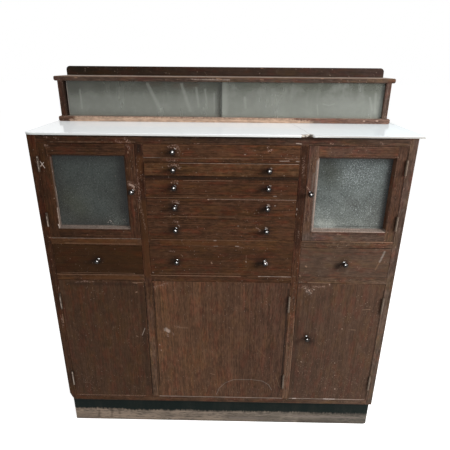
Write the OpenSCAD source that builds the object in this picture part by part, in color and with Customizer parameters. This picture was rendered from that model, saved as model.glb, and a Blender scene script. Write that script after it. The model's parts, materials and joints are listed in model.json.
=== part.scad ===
// Surgery cabinet in stained oak. Two glazed cupboards and two drawers flank six graduated drawers,
// above three plain doors. It has a milk glass top and a gallery with two sliding panes.
// It faces -Y and stands on z = 0. Sizes are in millimetres.

/* [Carcass] */
// Width over the two sides
carcass_w = 1200; // [1100:10:1400]
// Thickness of the sides and of the two dividers
side_t = 25; // [20:1:32]
// Height of the four main rails
rail_h = 25; // [20:1:40]
// Depth of the rails, front to back
rail_d = 22; // [22:1:30]
// Height of the openings of the glazed doors
upper_open_h = 319; // [300:1:420]
// Height of the openings of the side drawers and the deep drawer
deep_open_h = 111; // [90:1:160]
// Height of the openings of the lower doors
lower_open_h = 520; // [420:5:620]
// Width of the opening between the dividers
centre_open_w = 488; // [420:2:560]
// Thickness of the boards inside
board_t = 18; // [12:1:20]
// Thickness of the back panel
back_t = 6; // [4:1:10]

/* [Plinth] */
// Height of the plinth
plinth_h = 120; // [80:5:160]
// How far the plinth stands behind the front edges
plinth_recess = 16; // [5:1:50]
// How far the plinth stands inside each side
plinth_inset = 3; // [0:1:12]
// Thickness of the plinth boards
plinth_t = 20; // [15:1:25]

/* [Drawers] */
// Opening heights of the top four slim drawers; the fifth takes what is left
slim_open_h = [45, 43, 50, 60]; // [40:1:64]
// Height of the thin rails between the slim drawers
thin_rail_h = 12; // [8:1:14]
// Width of the runners that carry the slim drawers
runner_w = 30; // [15:1:50]
// Gap round each drawer front
drawer_gap = 1; // [0.5:0.25:2]
// Thickness of the drawer fronts
front_t = 18; // [14:1:20]
// How far the second drawer's front stands proud
proud = 3; // [0:0.5:4]
// Thickness of the drawer sides and backs
drawer_side_t = 8; // [6:1:12]
// Thickness of the drawer bottoms
drawer_bottom_t = 5; // [3:1:6]
// Height of each drawer bottom above the side's lower edge
bottom_lift = 6; // [3:1:10]
// Free space above the drawer sides
drawer_head = 4; // [2:1:10]
// Running clearance under each drawer
run_clear = 0.3; // [0.2:0.1:1]
// Length of the drawers behind the front edges
drawer_len = 355; // [325:5:455]
// Free space behind the drawers
drawer_room = 39; // [5:1:120]

/* [Doors] */
// Thickness of the doors
door_t = 20; // [16:1:21]
// Gap round each door
door_gap = 1.5; // [1:0.25:2.5]
// Width of the glazed doors' stiles
stile_w = 30; // [25:1:45]
// Height of the glazed doors' rails
door_rail_h = 33; // [25:1:45]
// Thickness of the glass in the doors
door_glass_t = 3; // [2:0.5:4]
// Thickness of the lip behind the glass
lip_t = 4; // [3:0.5:6]
// Width of the lip and of the splayed bead at the glass
bead_w = 7; // [4:0.5:10]
// Width of the bead at the front
bead_nose = 1.5; // [0.5:0.25:3]
// How far the bead lies behind the door's face
bead_sink = 0.8; // [0.5:0.1:3]
// Width, depth and height of the stop blocks behind the doors
stop_size = [12, 12, 60]; // [8:1:80]

/* [Hinges] */
// Length of the glazed doors' hinges
upper_hinge_l = 47; // [40:1:60]
// Length of the lower doors' hinges
lower_hinge_l = 63; // [50:1:80]
// Distance from a glazed door's ends to the middle of its hinges
upper_hinge_in = 66; // [50:1:90]
// Distance from a lower door's ends to the middle of its hinges
lower_hinge_in = 86; // [60:1:120]
// Radius of the hinge barrel
barrel_r = 3.5; // [3:0.25:3.75]
// Distance of the pin's axis in front of the doors
pin_out = 4; // [4:0.25:5]
// Radius of the hinge pin
pin_r = 1.5; // [1.25:0.25:2]
// Radial clearance round the hinge pin
pin_clear = 0.05; // [0.02:0.01:0.1]
// Thickness of the hinge leaves
leaf_t = 1.2; // [1:0.1:1.5]
// Depth of the hinge leaves in the wood
leaf_d = 17; // [12:1:19]
// Gap between the knuckles
knuckle_gap = 0.3; // [0.2:0.1:0.6]

/* [Knobs] */
// Diameter of the knob's ball
knob_d = 17; // [12:1:22]
// Distance of the ball's centre from the face
knob_out = 15; // [13:1:20]
// Diameter of the knob's neck
neck_d = 7; // [5:0.5:9]
// Diameter of the knob's rose
rose_d = 14; // [10:1:20]
// Thickness of the rose
rose_t = 2; // [1:0.5:4]
// Distance between the two knobs of a centre drawer
knob_spread = 300; // [200:10:360]
// Height of the glazed doors' knobs above the middle of the doors
upper_knob_up = 7; // [-60:1:60]
// Distance of a lower knob from the door's free edge
lower_knob_in = 47; // [25:1:80]
// Height of the right lower knob above the middle of its door
lower_knob_up = 34; // [-60:1:120]
// Height of the centre door's empty knob hole above its middle
lost_knob_up = 58; // [-60:1:120]
// Diameter of the empty knob holes
lost_knob_d = 4; // [2:0.5:6]

/* [Milk glass] */
// Thickness of the milk glass top
top_glass_t = 7; // [5:1:12]
// Overhang of the top on the left
over_left = 10; // [0:1:30]
// Overhang of the top on the right
over_right = 20; // [0:1:30]
// Overhang of the top at the front
over_front = 6; // [0:1:12]
// Radius of the top's left front corner
left_corner_r = 30; // [4:1:45]
// Radius of the top's other corners
top_corner_r = 8; // [3:1:25]

/* [Gallery] */
// Depth of the gallery
gallery_d = 140; // [110:5:180]
// Clear height inside the gallery
gallery_h = 121; // [90:1:160]
// Thickness of the gallery's base board
gallery_base_t = 18; // [14:1:22]
// Thickness of the gallery's shelf
shelf_t = 16; // [14:1:22]
// Thickness of the gallery's end panels
gallery_end_t = 18; // [12:1:22]
// Overhang of base and shelf beyond the end panels
gallery_over = 12; // [6:1:25]
// Radius of the board ends
board_end_r = 6; // [3:1:6]
// Height of the upstand on the shelf
upstand_h = 32; // [20:1:60]
// Thickness of the upstand
upstand_t = 16; // [12:1:20]
// How far the upstand's ends stand inside the shelf's
upstand_in = 3; // [0:1:20]
// Radius of the upstand's upper corners
upstand_r = 14; // [5:1:18]
// Thickness of the sliding panes
pane_t = 4; // [3:0.5:4.5]
// Clearance of a pane in its groove
pane_clear = 0.5; // [0.3:0.1:1]
// Distance from the board's edge to the front groove
groove_in = 10; // [6:1:16]
// Width of the wood between the grooves
groove_web = 4; // [3:1:8]
// Depth of the grooves in the base board
groove_low = 3; // [2:0.5:5]
// Depth of the grooves in the shelf
groove_high = 8; // [6:0.5:9]
// How far a pane reaches into the shelf's groove
pane_catch = 4; // [3:0.5:5]
// Overlap of the closed panes
pane_lap = 11; // [8:1:40]
// How far the left pane stands open
pane_ajar = 4; // [0:1:60]

/* [Hidden] */
$fn = 48;
cut = 1; // how far a cutting shape runs past what it cuts
joint_gap = 0.1; // glue line between the boards of one sub-part

half_w = carcass_w / 2;
back_y = drawer_len + drawer_room;
carcass_d = back_y + back_t;
side_in = half_w - side_t;
centre_in = centre_open_w / 2;
divider_out = centre_in + side_t;

lower_open_z = plinth_h + rail_h;
deep_open_z = lower_open_z + lower_open_h + rail_h;
upper_open_z = deep_open_z + deep_open_h + rail_h;
upper_top_z = upper_open_z + upper_open_h;
carcass_z = upper_top_z + rail_h;

top_z = carcass_z + top_glass_t;
gallery_y = carcass_d - gallery_d;
gallery_in = half_w - gallery_over - gallery_end_t;
gallery_floor_z = top_z + gallery_base_t;
shelf_z = gallery_floor_z + gallery_h;
upstand_z = shelf_z + shelf_t;

knob_reach = knob_out + knob_d / 2;

// Opening of each column as [left edge, right edge]
left_column = [-side_in, -divider_out];
centre_column = [-centre_in, centre_in];
right_column = [divider_out, side_in];
COLUMNS = [left_column, centre_column, right_column];

// Openings of the six centre drawers, from the top down
slim_rest_h = upper_open_h - total(slim_open_h) - 4 * thin_rail_h;
centre_open_h = concat(slim_open_h, [slim_rest_h, deep_open_h]);

// Every drawer as [column, bottom of its opening, height of its opening, knob places, proud]
pair = [-knob_spread / 2, knob_spread / 2];
DRAWERS = concat(
    [for (i = [0:5]) [centre_column, centre_open_z(i), centre_open_h[i],
        i == 0 ? [pair[0]] : pair, i == 1 ? proud : 0]],
    [[left_column, deep_open_z, deep_open_h, [middle(left_column)], 0],
     [right_column, deep_open_z, deep_open_h, [middle(right_column)], 0]]);
DRAWER_NAMES = ["drawer_1", "drawer_2", "drawer_3", "drawer_4", "drawer_5", "drawer_6",
    "drawer_left", "drawer_right"];

// Every door as [column, bottom of its opening, height of its opening, hinge side]
// Its hinge side is -1 for the left edge and 1 for the right edge
glazed_left_door = [left_column, upper_open_z, upper_open_h, -1];
glazed_right_door = [right_column, upper_open_z, upper_open_h, 1];
lower_left_door = [left_column, lower_open_z, lower_open_h, -1];
lower_centre_door = [centre_column, lower_open_z, lower_open_h, 1];
lower_right_door = [right_column, lower_open_z, lower_open_h, 1];
DOORS = [glazed_left_door, glazed_right_door, lower_left_door, lower_centre_door, lower_right_door];

glazed_w = side_in - divider_out - 2 * door_gap;
glazed_h = upper_open_h - 2 * door_gap;
glass_y = door_t - lip_t - joint_gap - door_glass_t;
groove_w = pane_t + 2 * pane_clear;
pane_w = gallery_in - pane_clear + pane_lap / 2;
shut_left_x = -gallery_in + pane_clear;

function total(list, i = 0) = i < len(list) ? list[i] + total(list, i + 1) : 0;
function head(list, n) = [for (i = [0:1:n - 1]) list[i]];
function middle(span) = (span[0] + span[1]) / 2;
function width(span) = span[1] - span[0];

// Bottom of the opening of centre drawer i, counted from the top down
function centre_open_z(i) =
    i == 5 ? deep_open_z : upper_top_z - total(head(centre_open_h, i + 1)) - i * thin_rail_h;

// X of a door's hinge edge, of its hinge axis and of its free edge
function hinge_edge_x(door) = door[3] < 0 ? door[0][0] : door[0][1];
function hinge_axis_x(door) = hinge_edge_x(door) - door[3] * door_gap / 2;
function free_edge_x(door) = door[3] < 0 ? door[0][1] - door_gap : door[0][0] + door_gap;
function hinge_length(door) = door[1] == upper_open_z ? upper_hinge_l : lower_hinge_l;

// Lower ends of a door's two hinges
function hinge_zs(door) =
    let (inset = door[1] == upper_open_z ? upper_hinge_in : lower_hinge_in,
         l = hinge_length(door))
    [door[1] + inset - l / 2, door[1] + door[2] - inset - l / 2];

// Moves the cabinet from its own centre line and front face to the middle of its outline
module stand() {
    front = max(knob_reach + proud, over_front);
    translate([-(over_right - over_left) / 2, -(carcass_d - front) / 2, 0]) children();
}

// Board from its low corner to its high corner
module board(low, high) {
    translate(low) cube(high - low);
}

// Board along X whose ends are rounded, seen from the front
module round_end_board(w, d, t, r) {
    translate([0, d, 0]) rotate([90, 0, 0]) linear_extrude(d) {
        translate([-w / 2 + r, 0]) square([w - 2 * r, t]);
        translate([-w / 2, r]) square([w, t - 2 * r]);
        for (x = [-w / 2 + r, w / 2 - r], z = [r, t - r]) translate([x, z]) circle(r);
    }
}

// Half a butt hinge on the axis line, with its leaf towards -X, from z = 0 up
module hinge_half(length, knuckles) {
    pitch = length / 5;
    leaf_x = -door_gap / 2 - leaf_t;
    difference() {
        union() {
            translate([leaf_x, 0, 0]) cube([leaf_t, leaf_d, length]);
            for (k = knuckles) translate([0, -pin_out, k * pitch + knuckle_gap / 2]) {
                cylinder(r = barrel_r, h = pitch - knuckle_gap);
                translate([leaf_x, 0, 0]) cube([leaf_t, pin_out, pitch - knuckle_gap]);
            }
        }
        translate([0, -pin_out, -cut]) cylinder(r = pin_r + pin_clear, h = length + 2 * cut);
    }
}

module hinge_pin(length) {
    head_r = (pin_r + barrel_r) / 2;
    translate([0, -pin_out, 0]) cylinder(r = pin_r, h = length);
    for (z = [-pin_r, length]) translate([0, -pin_out, z]) cylinder(r = head_r, h = pin_r);
}

// Places children at each hinge of a door, with the fixed side towards -X of the child
module at_hinges(door) {
    for (z = hinge_zs(door)) translate([hinge_axis_x(door), 0, z])
        mirror([door[3] < 0 ? 0 : 1, 0, 0]) children();
}

// The recesses for a door's fixed leaves
module fixed_recesses(door) {
    at_hinges(door) translate([-door_gap / 2 - leaf_t, -cut, 0])
        cube([leaf_t + cut, leaf_d + cut, hinge_length(door)]);
}

// The recesses for the leaves that are screwed to the door
module door_recesses(door) {
    at_hinges(door) translate([door_gap / 2 - cut, -cut, 0])
        cube([leaf_t + cut, leaf_d + cut, hinge_length(door)]);
}

module door_hinges(door) {
    color("darkgoldenrod") stand() at_hinges(door)
        mirror([1, 0, 0]) hinge_half(hinge_length(door), [1, 3]);
}

// Turned knob on the face at y = 0
module knob(x, z) {
    translate([x, 0, z]) rotate([90, 0, 0]) {
        cylinder(d = rose_d, h = rose_t);
        cylinder(d = neck_d, h = knob_out);
        translate([0, 0, knob_out]) sphere(d = knob_d);
    }
}

module plinth() {
    x = half_w - plinth_inset;
    y = plinth_recess + plinth_t;
    color("dimgray") stand() {
        board([-x, plinth_recess, 0], [x, y, plinth_h]);
        board([-x, y + joint_gap, 0], [-x + plinth_t, carcass_d, plinth_h]);
        board([x - plinth_t, y + joint_gap, 0], [x, carcass_d, plinth_h]);
        board([-x + plinth_t + joint_gap, carcass_d - plinth_t, 0],
            [x - plinth_t - joint_gap, carcass_d, plinth_h]);
    }
}

module side_left() {
    color("saddlebrown") stand() difference() {
        board([-half_w, 0, plinth_h], [-side_in, carcass_d, carcass_z]);
        fixed_recesses(glazed_left_door);
        fixed_recesses(lower_left_door);
    }
}

module side_right() {
    color("saddlebrown") stand() difference() {
        board([side_in, 0, plinth_h], [half_w, carcass_d, carcass_z]);
        fixed_recesses(glazed_right_door);
        fixed_recesses(lower_right_door);
    }
}

module dividers() {
    color("sienna") stand() difference() {
        for (x = [-divider_out, centre_in]) {
            board([x, 0, lower_open_z], [x + side_t, back_y, upper_top_z]);
            board([x, rail_d + joint_gap, upper_top_z - cut],
                [x + side_t, back_y, carcass_z - board_t]);
        }
        fixed_recesses(lower_centre_door);
    }
}

module bottom_board() {
    color("peru") stand()
        board([-side_in, rail_d + joint_gap, lower_open_z - board_t], [side_in, back_y, lower_open_z]);
}

module sub_top() {
    color("peru") stand()
        board([-side_in, rail_d + joint_gap, carcass_z - board_t], [side_in, back_y, carcass_z]);
}

module back_panel() {
    color("burlywood") stand() board([-side_in, back_y, plinth_h], [side_in, carcass_d, carcass_z]);
}

module frame_rails() {
    color("sienna") stand() {
        for (z = [plinth_h, upper_top_z]) board([-side_in, 0, z], [side_in, rail_d, z + rail_h]);
        for (span = [left_column, right_column], z = [deep_open_z, upper_open_z])
            board([span[0], 0, z - rail_h], [span[1], rail_d, z]);
    }
}

module drawer_rails() {
    color("chocolate") stand() {
        for (z = [deep_open_z, upper_open_z])
            board([-centre_in, 0, z - rail_h], [centre_in, rail_d, z]);
        for (i = [0:3])
            board([-centre_in, 0, centre_open_z(i) - thin_rail_h],
                [centre_in, rail_d, centre_open_z(i)]);
    }
}

// Dust boards behind the main rails, and runners behind the thin rails
module drawer_carriers() {
    y = rail_d + joint_gap;
    color("peru") stand() {
        for (span = COLUMNS, z = [deep_open_z, upper_open_z])
            board([span[0], y, z - board_t], [span[1], back_y, z]);
        for (i = [0:3], side = [0, 1]) mirror([side, 0, 0])
            board([centre_in - runner_w, y, centre_open_z(i) - thin_rail_h],
                [centre_in, back_y, centre_open_z(i)]);
    }
}

// Blocks on the dividers that stop each door flush with the frame
module door_stops() {
    y = door_t + run_clear;
    color("peru") stand() for (door = DOORS) {
        edge = door[3] < 0 ? door[0][1] : door[0][0];
        x = door[3] < 0 ? edge - stop_size[0] : edge;
        z = door[1] + door[2] / 2 - stop_size[2] / 2;
        board([x, y, z], [x, y, z] + stop_size);
    }
}

// The leaves on the carcass, and the pins
module hinge_leaves() {
    color("darkgoldenrod") stand() for (door = DOORS) at_hinges(door) {
        hinge_half(hinge_length(door), [0, 2, 4]);
        hinge_pin(hinge_length(door));
    }
}

// What rounding takes off a sheet's corner that lies at the origin, with the sheet towards +X and +Y
module corner_waste(r) {
    difference() {
        translate([-cut, -cut]) square(r + cut);
        translate([r, r]) circle(r);
    }
}

module milk_glass_top() {
    low = [-half_w - over_left, -over_front];
    high = [half_w + over_right, carcass_d];
    color("azure") stand() translate([0, 0, carcass_z]) linear_extrude(top_glass_t) difference() {
        translate(low) square(high - low);
        translate(low) corner_waste(left_corner_r);
        translate([high[0], low[1]]) mirror([1, 0]) corner_waste(top_corner_r);
        translate([low[0], high[1]]) mirror([0, 1]) corner_waste(top_corner_r);
        translate(high) rotate(180) corner_waste(top_corner_r);
    }
}

// The two grooves of the panes, from z = 0 up
module grooves(h) {
    for (i = [0, 1])
        translate([-gallery_in, gallery_y + groove_in + i * (groove_w + groove_web), 0])
            cube([2 * gallery_in, groove_w, h]);
}

module gallery_base() {
    color("rosybrown") stand() difference() {
        translate([0, gallery_y, top_z])
            round_end_board(carcass_w, gallery_d, gallery_base_t, board_end_r);
        translate([0, 0, gallery_floor_z - groove_low]) grooves(groove_low + cut);
    }
}

module gallery_ends() {
    color("sienna") stand() for (side = [0, 1]) mirror([side, 0, 0])
        board([gallery_in, gallery_y, gallery_floor_z],
            [gallery_in + gallery_end_t, carcass_d, shelf_z]);
}

module gallery_back() {
    color("burlywood") stand()
        board([-gallery_in, back_y, gallery_floor_z], [gallery_in, carcass_d, shelf_z]);
}

module gallery_shelf() {
    color("saddlebrown") stand() difference() {
        translate([0, gallery_y, shelf_z])
            round_end_board(carcass_w, gallery_d, shelf_t, board_end_r);
        translate([0, 0, shelf_z - cut]) grooves(groove_high + cut);
    }
}

module gallery_upstand() {
    x = half_w - upstand_in;
    color("maroon") stand() translate([0, carcass_d, upstand_z])
        rotate([90, 0, 0]) linear_extrude(upstand_t) {
            translate([-x, 0]) square([2 * x, upstand_h - upstand_r]);
            translate([-x + upstand_r, 0]) square([2 * (x - upstand_r), upstand_h]);
            for (side = [-1, 1]) translate([side * (x - upstand_r), upstand_h - upstand_r])
                circle(upstand_r);
        }
}

// Sliding pane in groove i, with its left edge at x
module pane(x, i) {
    y = gallery_y + groove_in + pane_clear + i * (groove_w + groove_web);
    color("cadetblue", 0.6) stand()
        board([x, y, gallery_floor_z - groove_low + run_clear],
            [x + pane_w, y + pane_t, shelf_z + pane_catch]);
}

module pane_left() {
    pane(shut_left_x + pane_ajar, 1);
}

module pane_right() {
    pane(-shut_left_x - pane_w, 0);
}

// Splayed bead along X below the glass, of the opening's length, with mitred ends
module bead(length) {
    half = length / 2 - joint_gap;
    intersection() {
        translate([-length / 2, 0, 0]) rotate([90, 0, 90]) linear_extrude(length)
            polygon([[bead_sink, 0], [bead_sink, bead_nose],
                [glass_y - joint_gap, bead_w], [glass_y - joint_gap, 0]]);
        translate([0, door_t, 0]) rotate([90, 0, 0]) linear_extrude(door_t)
            polygon([[-half, 0], [half, 0], [half - bead_w, bead_w], [-half + bead_w, bead_w]]);
    }
}

// Stiles, rails and beads of a glazed door, between x = 0 and its width, from z = 0 up
module glazed_frame() {
    w = glazed_w;
    h = glazed_h;
    lip_y = door_t - lip_t;
    sight_w = w - 2 * stile_w;
    sight_h = h - 2 * door_rail_h;
    lip_z = door_rail_h + bead_w + joint_gap;
    for (side = [0, 1]) translate([side * w, 0, 0]) mirror([side, 0, 0]) {
        board([0, 0, 0], [stile_w, door_t, h]);
        board([stile_w - cut, lip_y, lip_z], [stile_w + bead_w, door_t, h - lip_z]);
        translate([stile_w, 0, h / 2]) rotate([0, 90, 0]) bead(sight_h);
    }
    for (side = [0, 1]) translate([0, 0, side * h]) mirror([0, 0, side]) {
        x = stile_w + joint_gap;
        board([x, 0, 0], [w - x, door_t, door_rail_h]);
        board([x, lip_y, door_rail_h - cut], [w - x, door_t, door_rail_h + bead_w]);
        translate([w / 2, 0, door_rail_h]) bead(sight_w);
    }
}

module glazed_door_frame(door) {
    color("saddlebrown") stand() difference() {
        translate([door[0][0] + door_gap, 0, door[1] + door_gap]) glazed_frame();
        door_recesses(door);
    }
}

module door_glass(door) {
    x = door_gap + stile_w + joint_gap;
    z = door_gap + door_rail_h + joint_gap;
    color("lightgray", 0.6) stand()
        board([door[0][0] + x, glass_y, door[1] + z],
            [door[0][1] - x, glass_y + door_glass_t, door[1] + door[2] - z]);
}

module door_panel(door) {
    color("saddlebrown") stand() difference() {
        board([door[0][0] + door_gap, 0, door[1] + door_gap],
            [door[0][1] - door_gap, door_t, door[1] + door[2] - door_gap]);
        door_recesses(door);
    }
}

module door_knob(door, inset, up) {
    color("black") stand()
        knob(free_edge_x(door) + door[3] * inset, door[1] + door[2] / 2 + up);
}

module glazed_left_frame() glazed_door_frame(glazed_left_door);
module glazed_left_glass() door_glass(glazed_left_door);
module glazed_left_hinges() door_hinges(glazed_left_door);
module glazed_left_knob() door_knob(glazed_left_door, stile_w / 2, upper_knob_up);
module glazed_right_frame() glazed_door_frame(glazed_right_door);
module glazed_right_glass() door_glass(glazed_right_door);
module glazed_right_hinges() door_hinges(glazed_right_door);
module glazed_right_knob() door_knob(glazed_right_door, stile_w / 2, upper_knob_up);
module lower_left_hinges() door_hinges(lower_left_door);
module lower_centre_hinges() door_hinges(lower_centre_door);
module lower_right_hinges() door_hinges(lower_right_door);
module lower_right_knob() door_knob(lower_right_door, lower_knob_in, lower_knob_up);
module lower_left_door() door_panel(lower_left_door);
module lower_right_door() door_panel(lower_right_door);

// The centre door has lost its knob
module lower_centre_door() {
    x = free_edge_x(lower_centre_door) + lower_knob_in;
    z = lower_open_z + lower_open_h / 2 + lost_knob_up;
    difference() {
        door_panel(lower_centre_door);
        stand() lost_knob_hole(x, z, door_t);
    }
}

module lost_knob_hole(x, z, depth) {
    translate([x, depth + cut, z]) rotate([90, 0, 0]) cylinder(d = lost_knob_d, h = depth + 2 * cut);
}

// The top drawer has lost its right knob
module drawer_front(i) {
    drawer = DRAWERS[i];
    span = drawer[0];
    z = drawer[1];
    h = drawer[2];
    color("chocolate") stand() difference() {
        board([span[0] + drawer_gap, -drawer[4], z + drawer_gap],
            [span[1] - drawer_gap, front_t, z + h - drawer_gap]);
        if (i == 0) lost_knob_hole(pair[1], z + h / 2, front_t);
    }
}

// Sides, back and bottom
module drawer_box(i) {
    drawer = DRAWERS[i];
    x = drawer[0] + [drawer_gap, -drawer_gap];
    z = drawer[1] + run_clear;
    top = drawer[1] + drawer[2] - drawer_head;
    y = front_t;
    inner = x + [drawer_side_t + joint_gap, -drawer_side_t - joint_gap];
    bottom_z = z + bottom_lift;
    back_z = bottom_z + drawer_bottom_t + joint_gap;
    color("tan") stand() {
        board([x[0], y, z], [x[0] + drawer_side_t, drawer_len, top]);
        board([x[1] - drawer_side_t, y, z], [x[1], drawer_len, top]);
        board([inner[0], y, bottom_z], [inner[1], drawer_len, bottom_z + drawer_bottom_t]);
        board([inner[0], drawer_len - drawer_side_t, back_z], [inner[1], drawer_len, top]);
    }
}

module drawer_knobs(i) {
    drawer = DRAWERS[i];
    color("black") stand() translate([0, -drawer[4], 0])
        for (x = drawer[3]) knob(x, drawer[1] + drawer[2] / 2);
}

plinth();
side_left();
side_right();
dividers();
bottom_board();
sub_top();
back_panel();
frame_rails();
drawer_rails();
drawer_carriers();
door_stops();
hinge_leaves();
milk_glass_top();
gallery_base();
gallery_ends();
gallery_back();
gallery_shelf();
gallery_upstand();
pane_left();
pane_right();
glazed_left_frame();
glazed_left_glass();
glazed_left_hinges();
glazed_left_knob();
glazed_right_frame();
glazed_right_glass();
glazed_right_hinges();
glazed_right_knob();
lower_left_door();
lower_left_hinges();
lower_centre_door();
lower_centre_hinges();
lower_right_door();
lower_right_hinges();
lower_right_knob();
for (i = [0:7]) {
    drawer_front(i);
    drawer_box(i);
    drawer_knobs(i);
}
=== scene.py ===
import json
import math

import bmesh
import bpy
from mathutils import Matrix, Vector


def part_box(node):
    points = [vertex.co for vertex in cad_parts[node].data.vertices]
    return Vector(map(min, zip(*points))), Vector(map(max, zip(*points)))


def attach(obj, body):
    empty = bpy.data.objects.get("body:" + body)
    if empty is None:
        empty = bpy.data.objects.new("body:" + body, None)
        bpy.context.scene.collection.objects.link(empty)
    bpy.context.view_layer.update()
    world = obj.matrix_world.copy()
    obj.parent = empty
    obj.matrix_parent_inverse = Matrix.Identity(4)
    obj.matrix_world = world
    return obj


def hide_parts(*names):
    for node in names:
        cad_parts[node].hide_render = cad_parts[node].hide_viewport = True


# Surgery cabinet in worn stained oak: milk glass top, gallery with two sliding panes,
# two doors of obscure glass, eight drawers and three plain doors.
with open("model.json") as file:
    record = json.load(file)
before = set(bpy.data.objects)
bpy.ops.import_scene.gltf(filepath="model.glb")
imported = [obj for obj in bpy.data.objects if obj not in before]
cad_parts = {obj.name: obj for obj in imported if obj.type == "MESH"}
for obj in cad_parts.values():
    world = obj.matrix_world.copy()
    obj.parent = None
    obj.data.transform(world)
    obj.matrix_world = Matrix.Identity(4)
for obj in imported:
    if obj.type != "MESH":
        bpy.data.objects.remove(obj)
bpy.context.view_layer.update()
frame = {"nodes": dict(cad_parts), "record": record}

bodies = frame["record"]["behaviour"]["bodies"]
bodyOf = {node: body for body, nodes in bodies.items() for node in nodes}

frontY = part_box("side_left")[0].y  # plane of the doors and drawers
middleX = (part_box("side_left")[0].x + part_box("side_right")[1].x) / 2


def spot(x, z, y=0.0):  # millimetres from the centre line, the floor and the front plane
    return Vector((middleX + x / 1000, frontY + y / 1000, z / 1000))

# Camera

camera = {
    "place": (0.02655, -1.43834, 1.37670),
    "down": 0.3778, "turn": -0.0149, "tilt": 0.0080,  # radians
    "lens": 32.572, "sensor": 36.0, "near": 0.05, "far": 100,
}


def addCamera():
    down, turn, tilt = camera["down"], camera["turn"], camera["tilt"]
    forward = Vector((math.sin(turn) * math.cos(down), math.cos(turn) * math.cos(down), -math.sin(down)))
    right = Vector((math.cos(turn), -math.sin(turn), 0))
    up = right.cross(forward)
    side = math.cos(tilt) * right + math.sin(tilt) * up
    top = math.cos(tilt) * up - math.sin(tilt) * right
    data = bpy.data.cameras.new("camera")
    data.sensor_width = camera["sensor"]
    data.lens = camera["lens"]
    data.clip_start, data.clip_end = camera["near"], camera["far"]
    thing = bpy.data.objects.new("camera", data)
    turned = Matrix((side, top, -forward)).transposed().to_4x4()
    thing.matrix_world = Matrix.Translation(camera["place"]) @ turned
    bpy.context.scene.collection.objects.link(thing)
    bpy.context.scene.camera = thing


addCamera()
print("camera set")


# Small tools for node trees

def setInputs(tree, node, inputs):  # joins sockets and sets plain values
    for key, value in inputs.items():
        if isinstance(value, bpy.types.NodeSocket):
            tree.links.new(value, node.inputs[key])
        else:
            node.inputs[key].default_value = value


def addNode(tree, kind, inputs=None, **settings):
    node = tree.nodes.new("ShaderNode" + kind)
    for name, value in settings.items():
        setattr(node, name, value)
    setInputs(tree, node, inputs or {})
    return node


def calc(tree, operation, *values, clamp=False):
    return addNode(tree, "Math", dict(enumerate(values)), operation=operation, use_clamp=clamp).outputs[0]


def scaled(tree, value, factor):
    return calc(tree, "MULTIPLY", value, factor)


def swing(tree, noise, reach):  # centres a noise on zero and scales it
    return scaled(tree, calc(tree, "SUBTRACT", noise, 0.5), reach)


def joined(tree, operation, values):  # one value from a list, or None from an empty list
    result = None
    for value in values:
        result = value if result is None else calc(tree, operation, result, value)
    return result


def vectorCalc(tree, operation, *values):
    node = addNode(tree, "VectorMath", dict(enumerate(values)), operation=operation)
    return node.outputs["Value" if operation in {"LENGTH", "DOT_PRODUCT"} else "Vector"]


def partOf(tree, vector, axis):
    return addNode(tree, "SeparateXYZ", {0: vector}).outputs[axis]


def mixColour(tree, factor, under, over, way="MIX"):
    under, over = [value if isinstance(value, bpy.types.NodeSocket) else (*value, 1) if isinstance(value, tuple)
                   else (value, value, value, 1) for value in (under, over)]
    return addNode(tree, "Mix", {0: factor, 6: under, 7: over}, data_type="RGBA", blend_type=way).outputs[2]


def addRamp(tree, factor, stops):
    ramp = addNode(tree, "ValToRGB", {"Fac": factor})
    elements = ramp.color_ramp.elements
    while len(elements) < len(stops):
        elements.new(0.5)
    for element, (position, colour) in zip(elements, stops):
        element.position = position
        element.color = (*colour, 1)
    return ramp.outputs["Color"]


def addNoise(tree, vector, stretch, detail=2.0, roughness=0.5):  # stretch is one number or one for each axis
    stretch = stretch if isinstance(stretch, tuple) else (stretch,) * 3
    place = vectorCalc(tree, "MULTIPLY", vector, stretch)
    inputs = {"Vector": place, "Scale": 1.0, "Detail": detail, "Roughness": roughness}
    return addNode(tree, "TexNoise", inputs).outputs[0]


def spread(tree, value, low, high, newLow=0.0, newHigh=1.0):  # maps low-high to newLow-newHigh, smooth and clamped
    return addNode(tree, "MapRange", {"Value": value, "From Min": low, "From Max": high, "To Min": newLow,
                                      "To Max": newHigh}, interpolation_type="SMOOTHSTEP").outputs[0]


def ranged(tree, value, low, high, newLow=0.0, newHigh=1.0):  # the same in a straight line
    return addNode(tree, "MapRange", {"Value": value, "From Min": low, "From Max": high, "To Min": newLow,
                                      "To Max": newHigh}).outputs[0]


def addBump(tree, height, strength, depth):
    return addNode(tree, "Bump", {"Height": height, "Strength": strength, "Distance": depth}).outputs[0]


def startGroup(name, vectors, numbers, gives):  # the names of its inputs, by kind, and of the masks that it gives
    tree = bpy.data.node_groups.new(name, "ShaderNodeTree")
    for sockets, way, kind in ((vectors, "INPUT", "Vector"), (numbers, "INPUT", "Float"), (gives, "OUTPUT", "Float")):
        for socket in sockets:
            tree.interface.new_socket(socket, in_out=way, socket_type="NodeSocket" + kind)
    return tree, tree.nodes.new("NodeGroupInput").outputs, tree.nodes.new("NodeGroupOutput")


def useGroup(tree, group, inputs):
    return addNode(tree, "Group", inputs, node_tree=group).outputs


# Effects that the materials share

oakClouds = {  # slow changes of tone: shift, stretch and roughness of the noise, and the span that shows
    "Warm": ((3.7, 1.9, 5.3), (30, 30, 11), 0.65, (0.46, 0.70)),
    "Dull": ((8.1, 6.2, 2.4), (20, 20, 9), 0.65, (0.46, 0.70)),
    "Red": ((1.3, 7.7, 9.1), (46, 46, 15), 0.65, (0.48, 0.66)),
    "Haze": ((6.4, 2.8, 0.9), (55, 55, 42), 0.7, (0.52, 0.72)),
}


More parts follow.
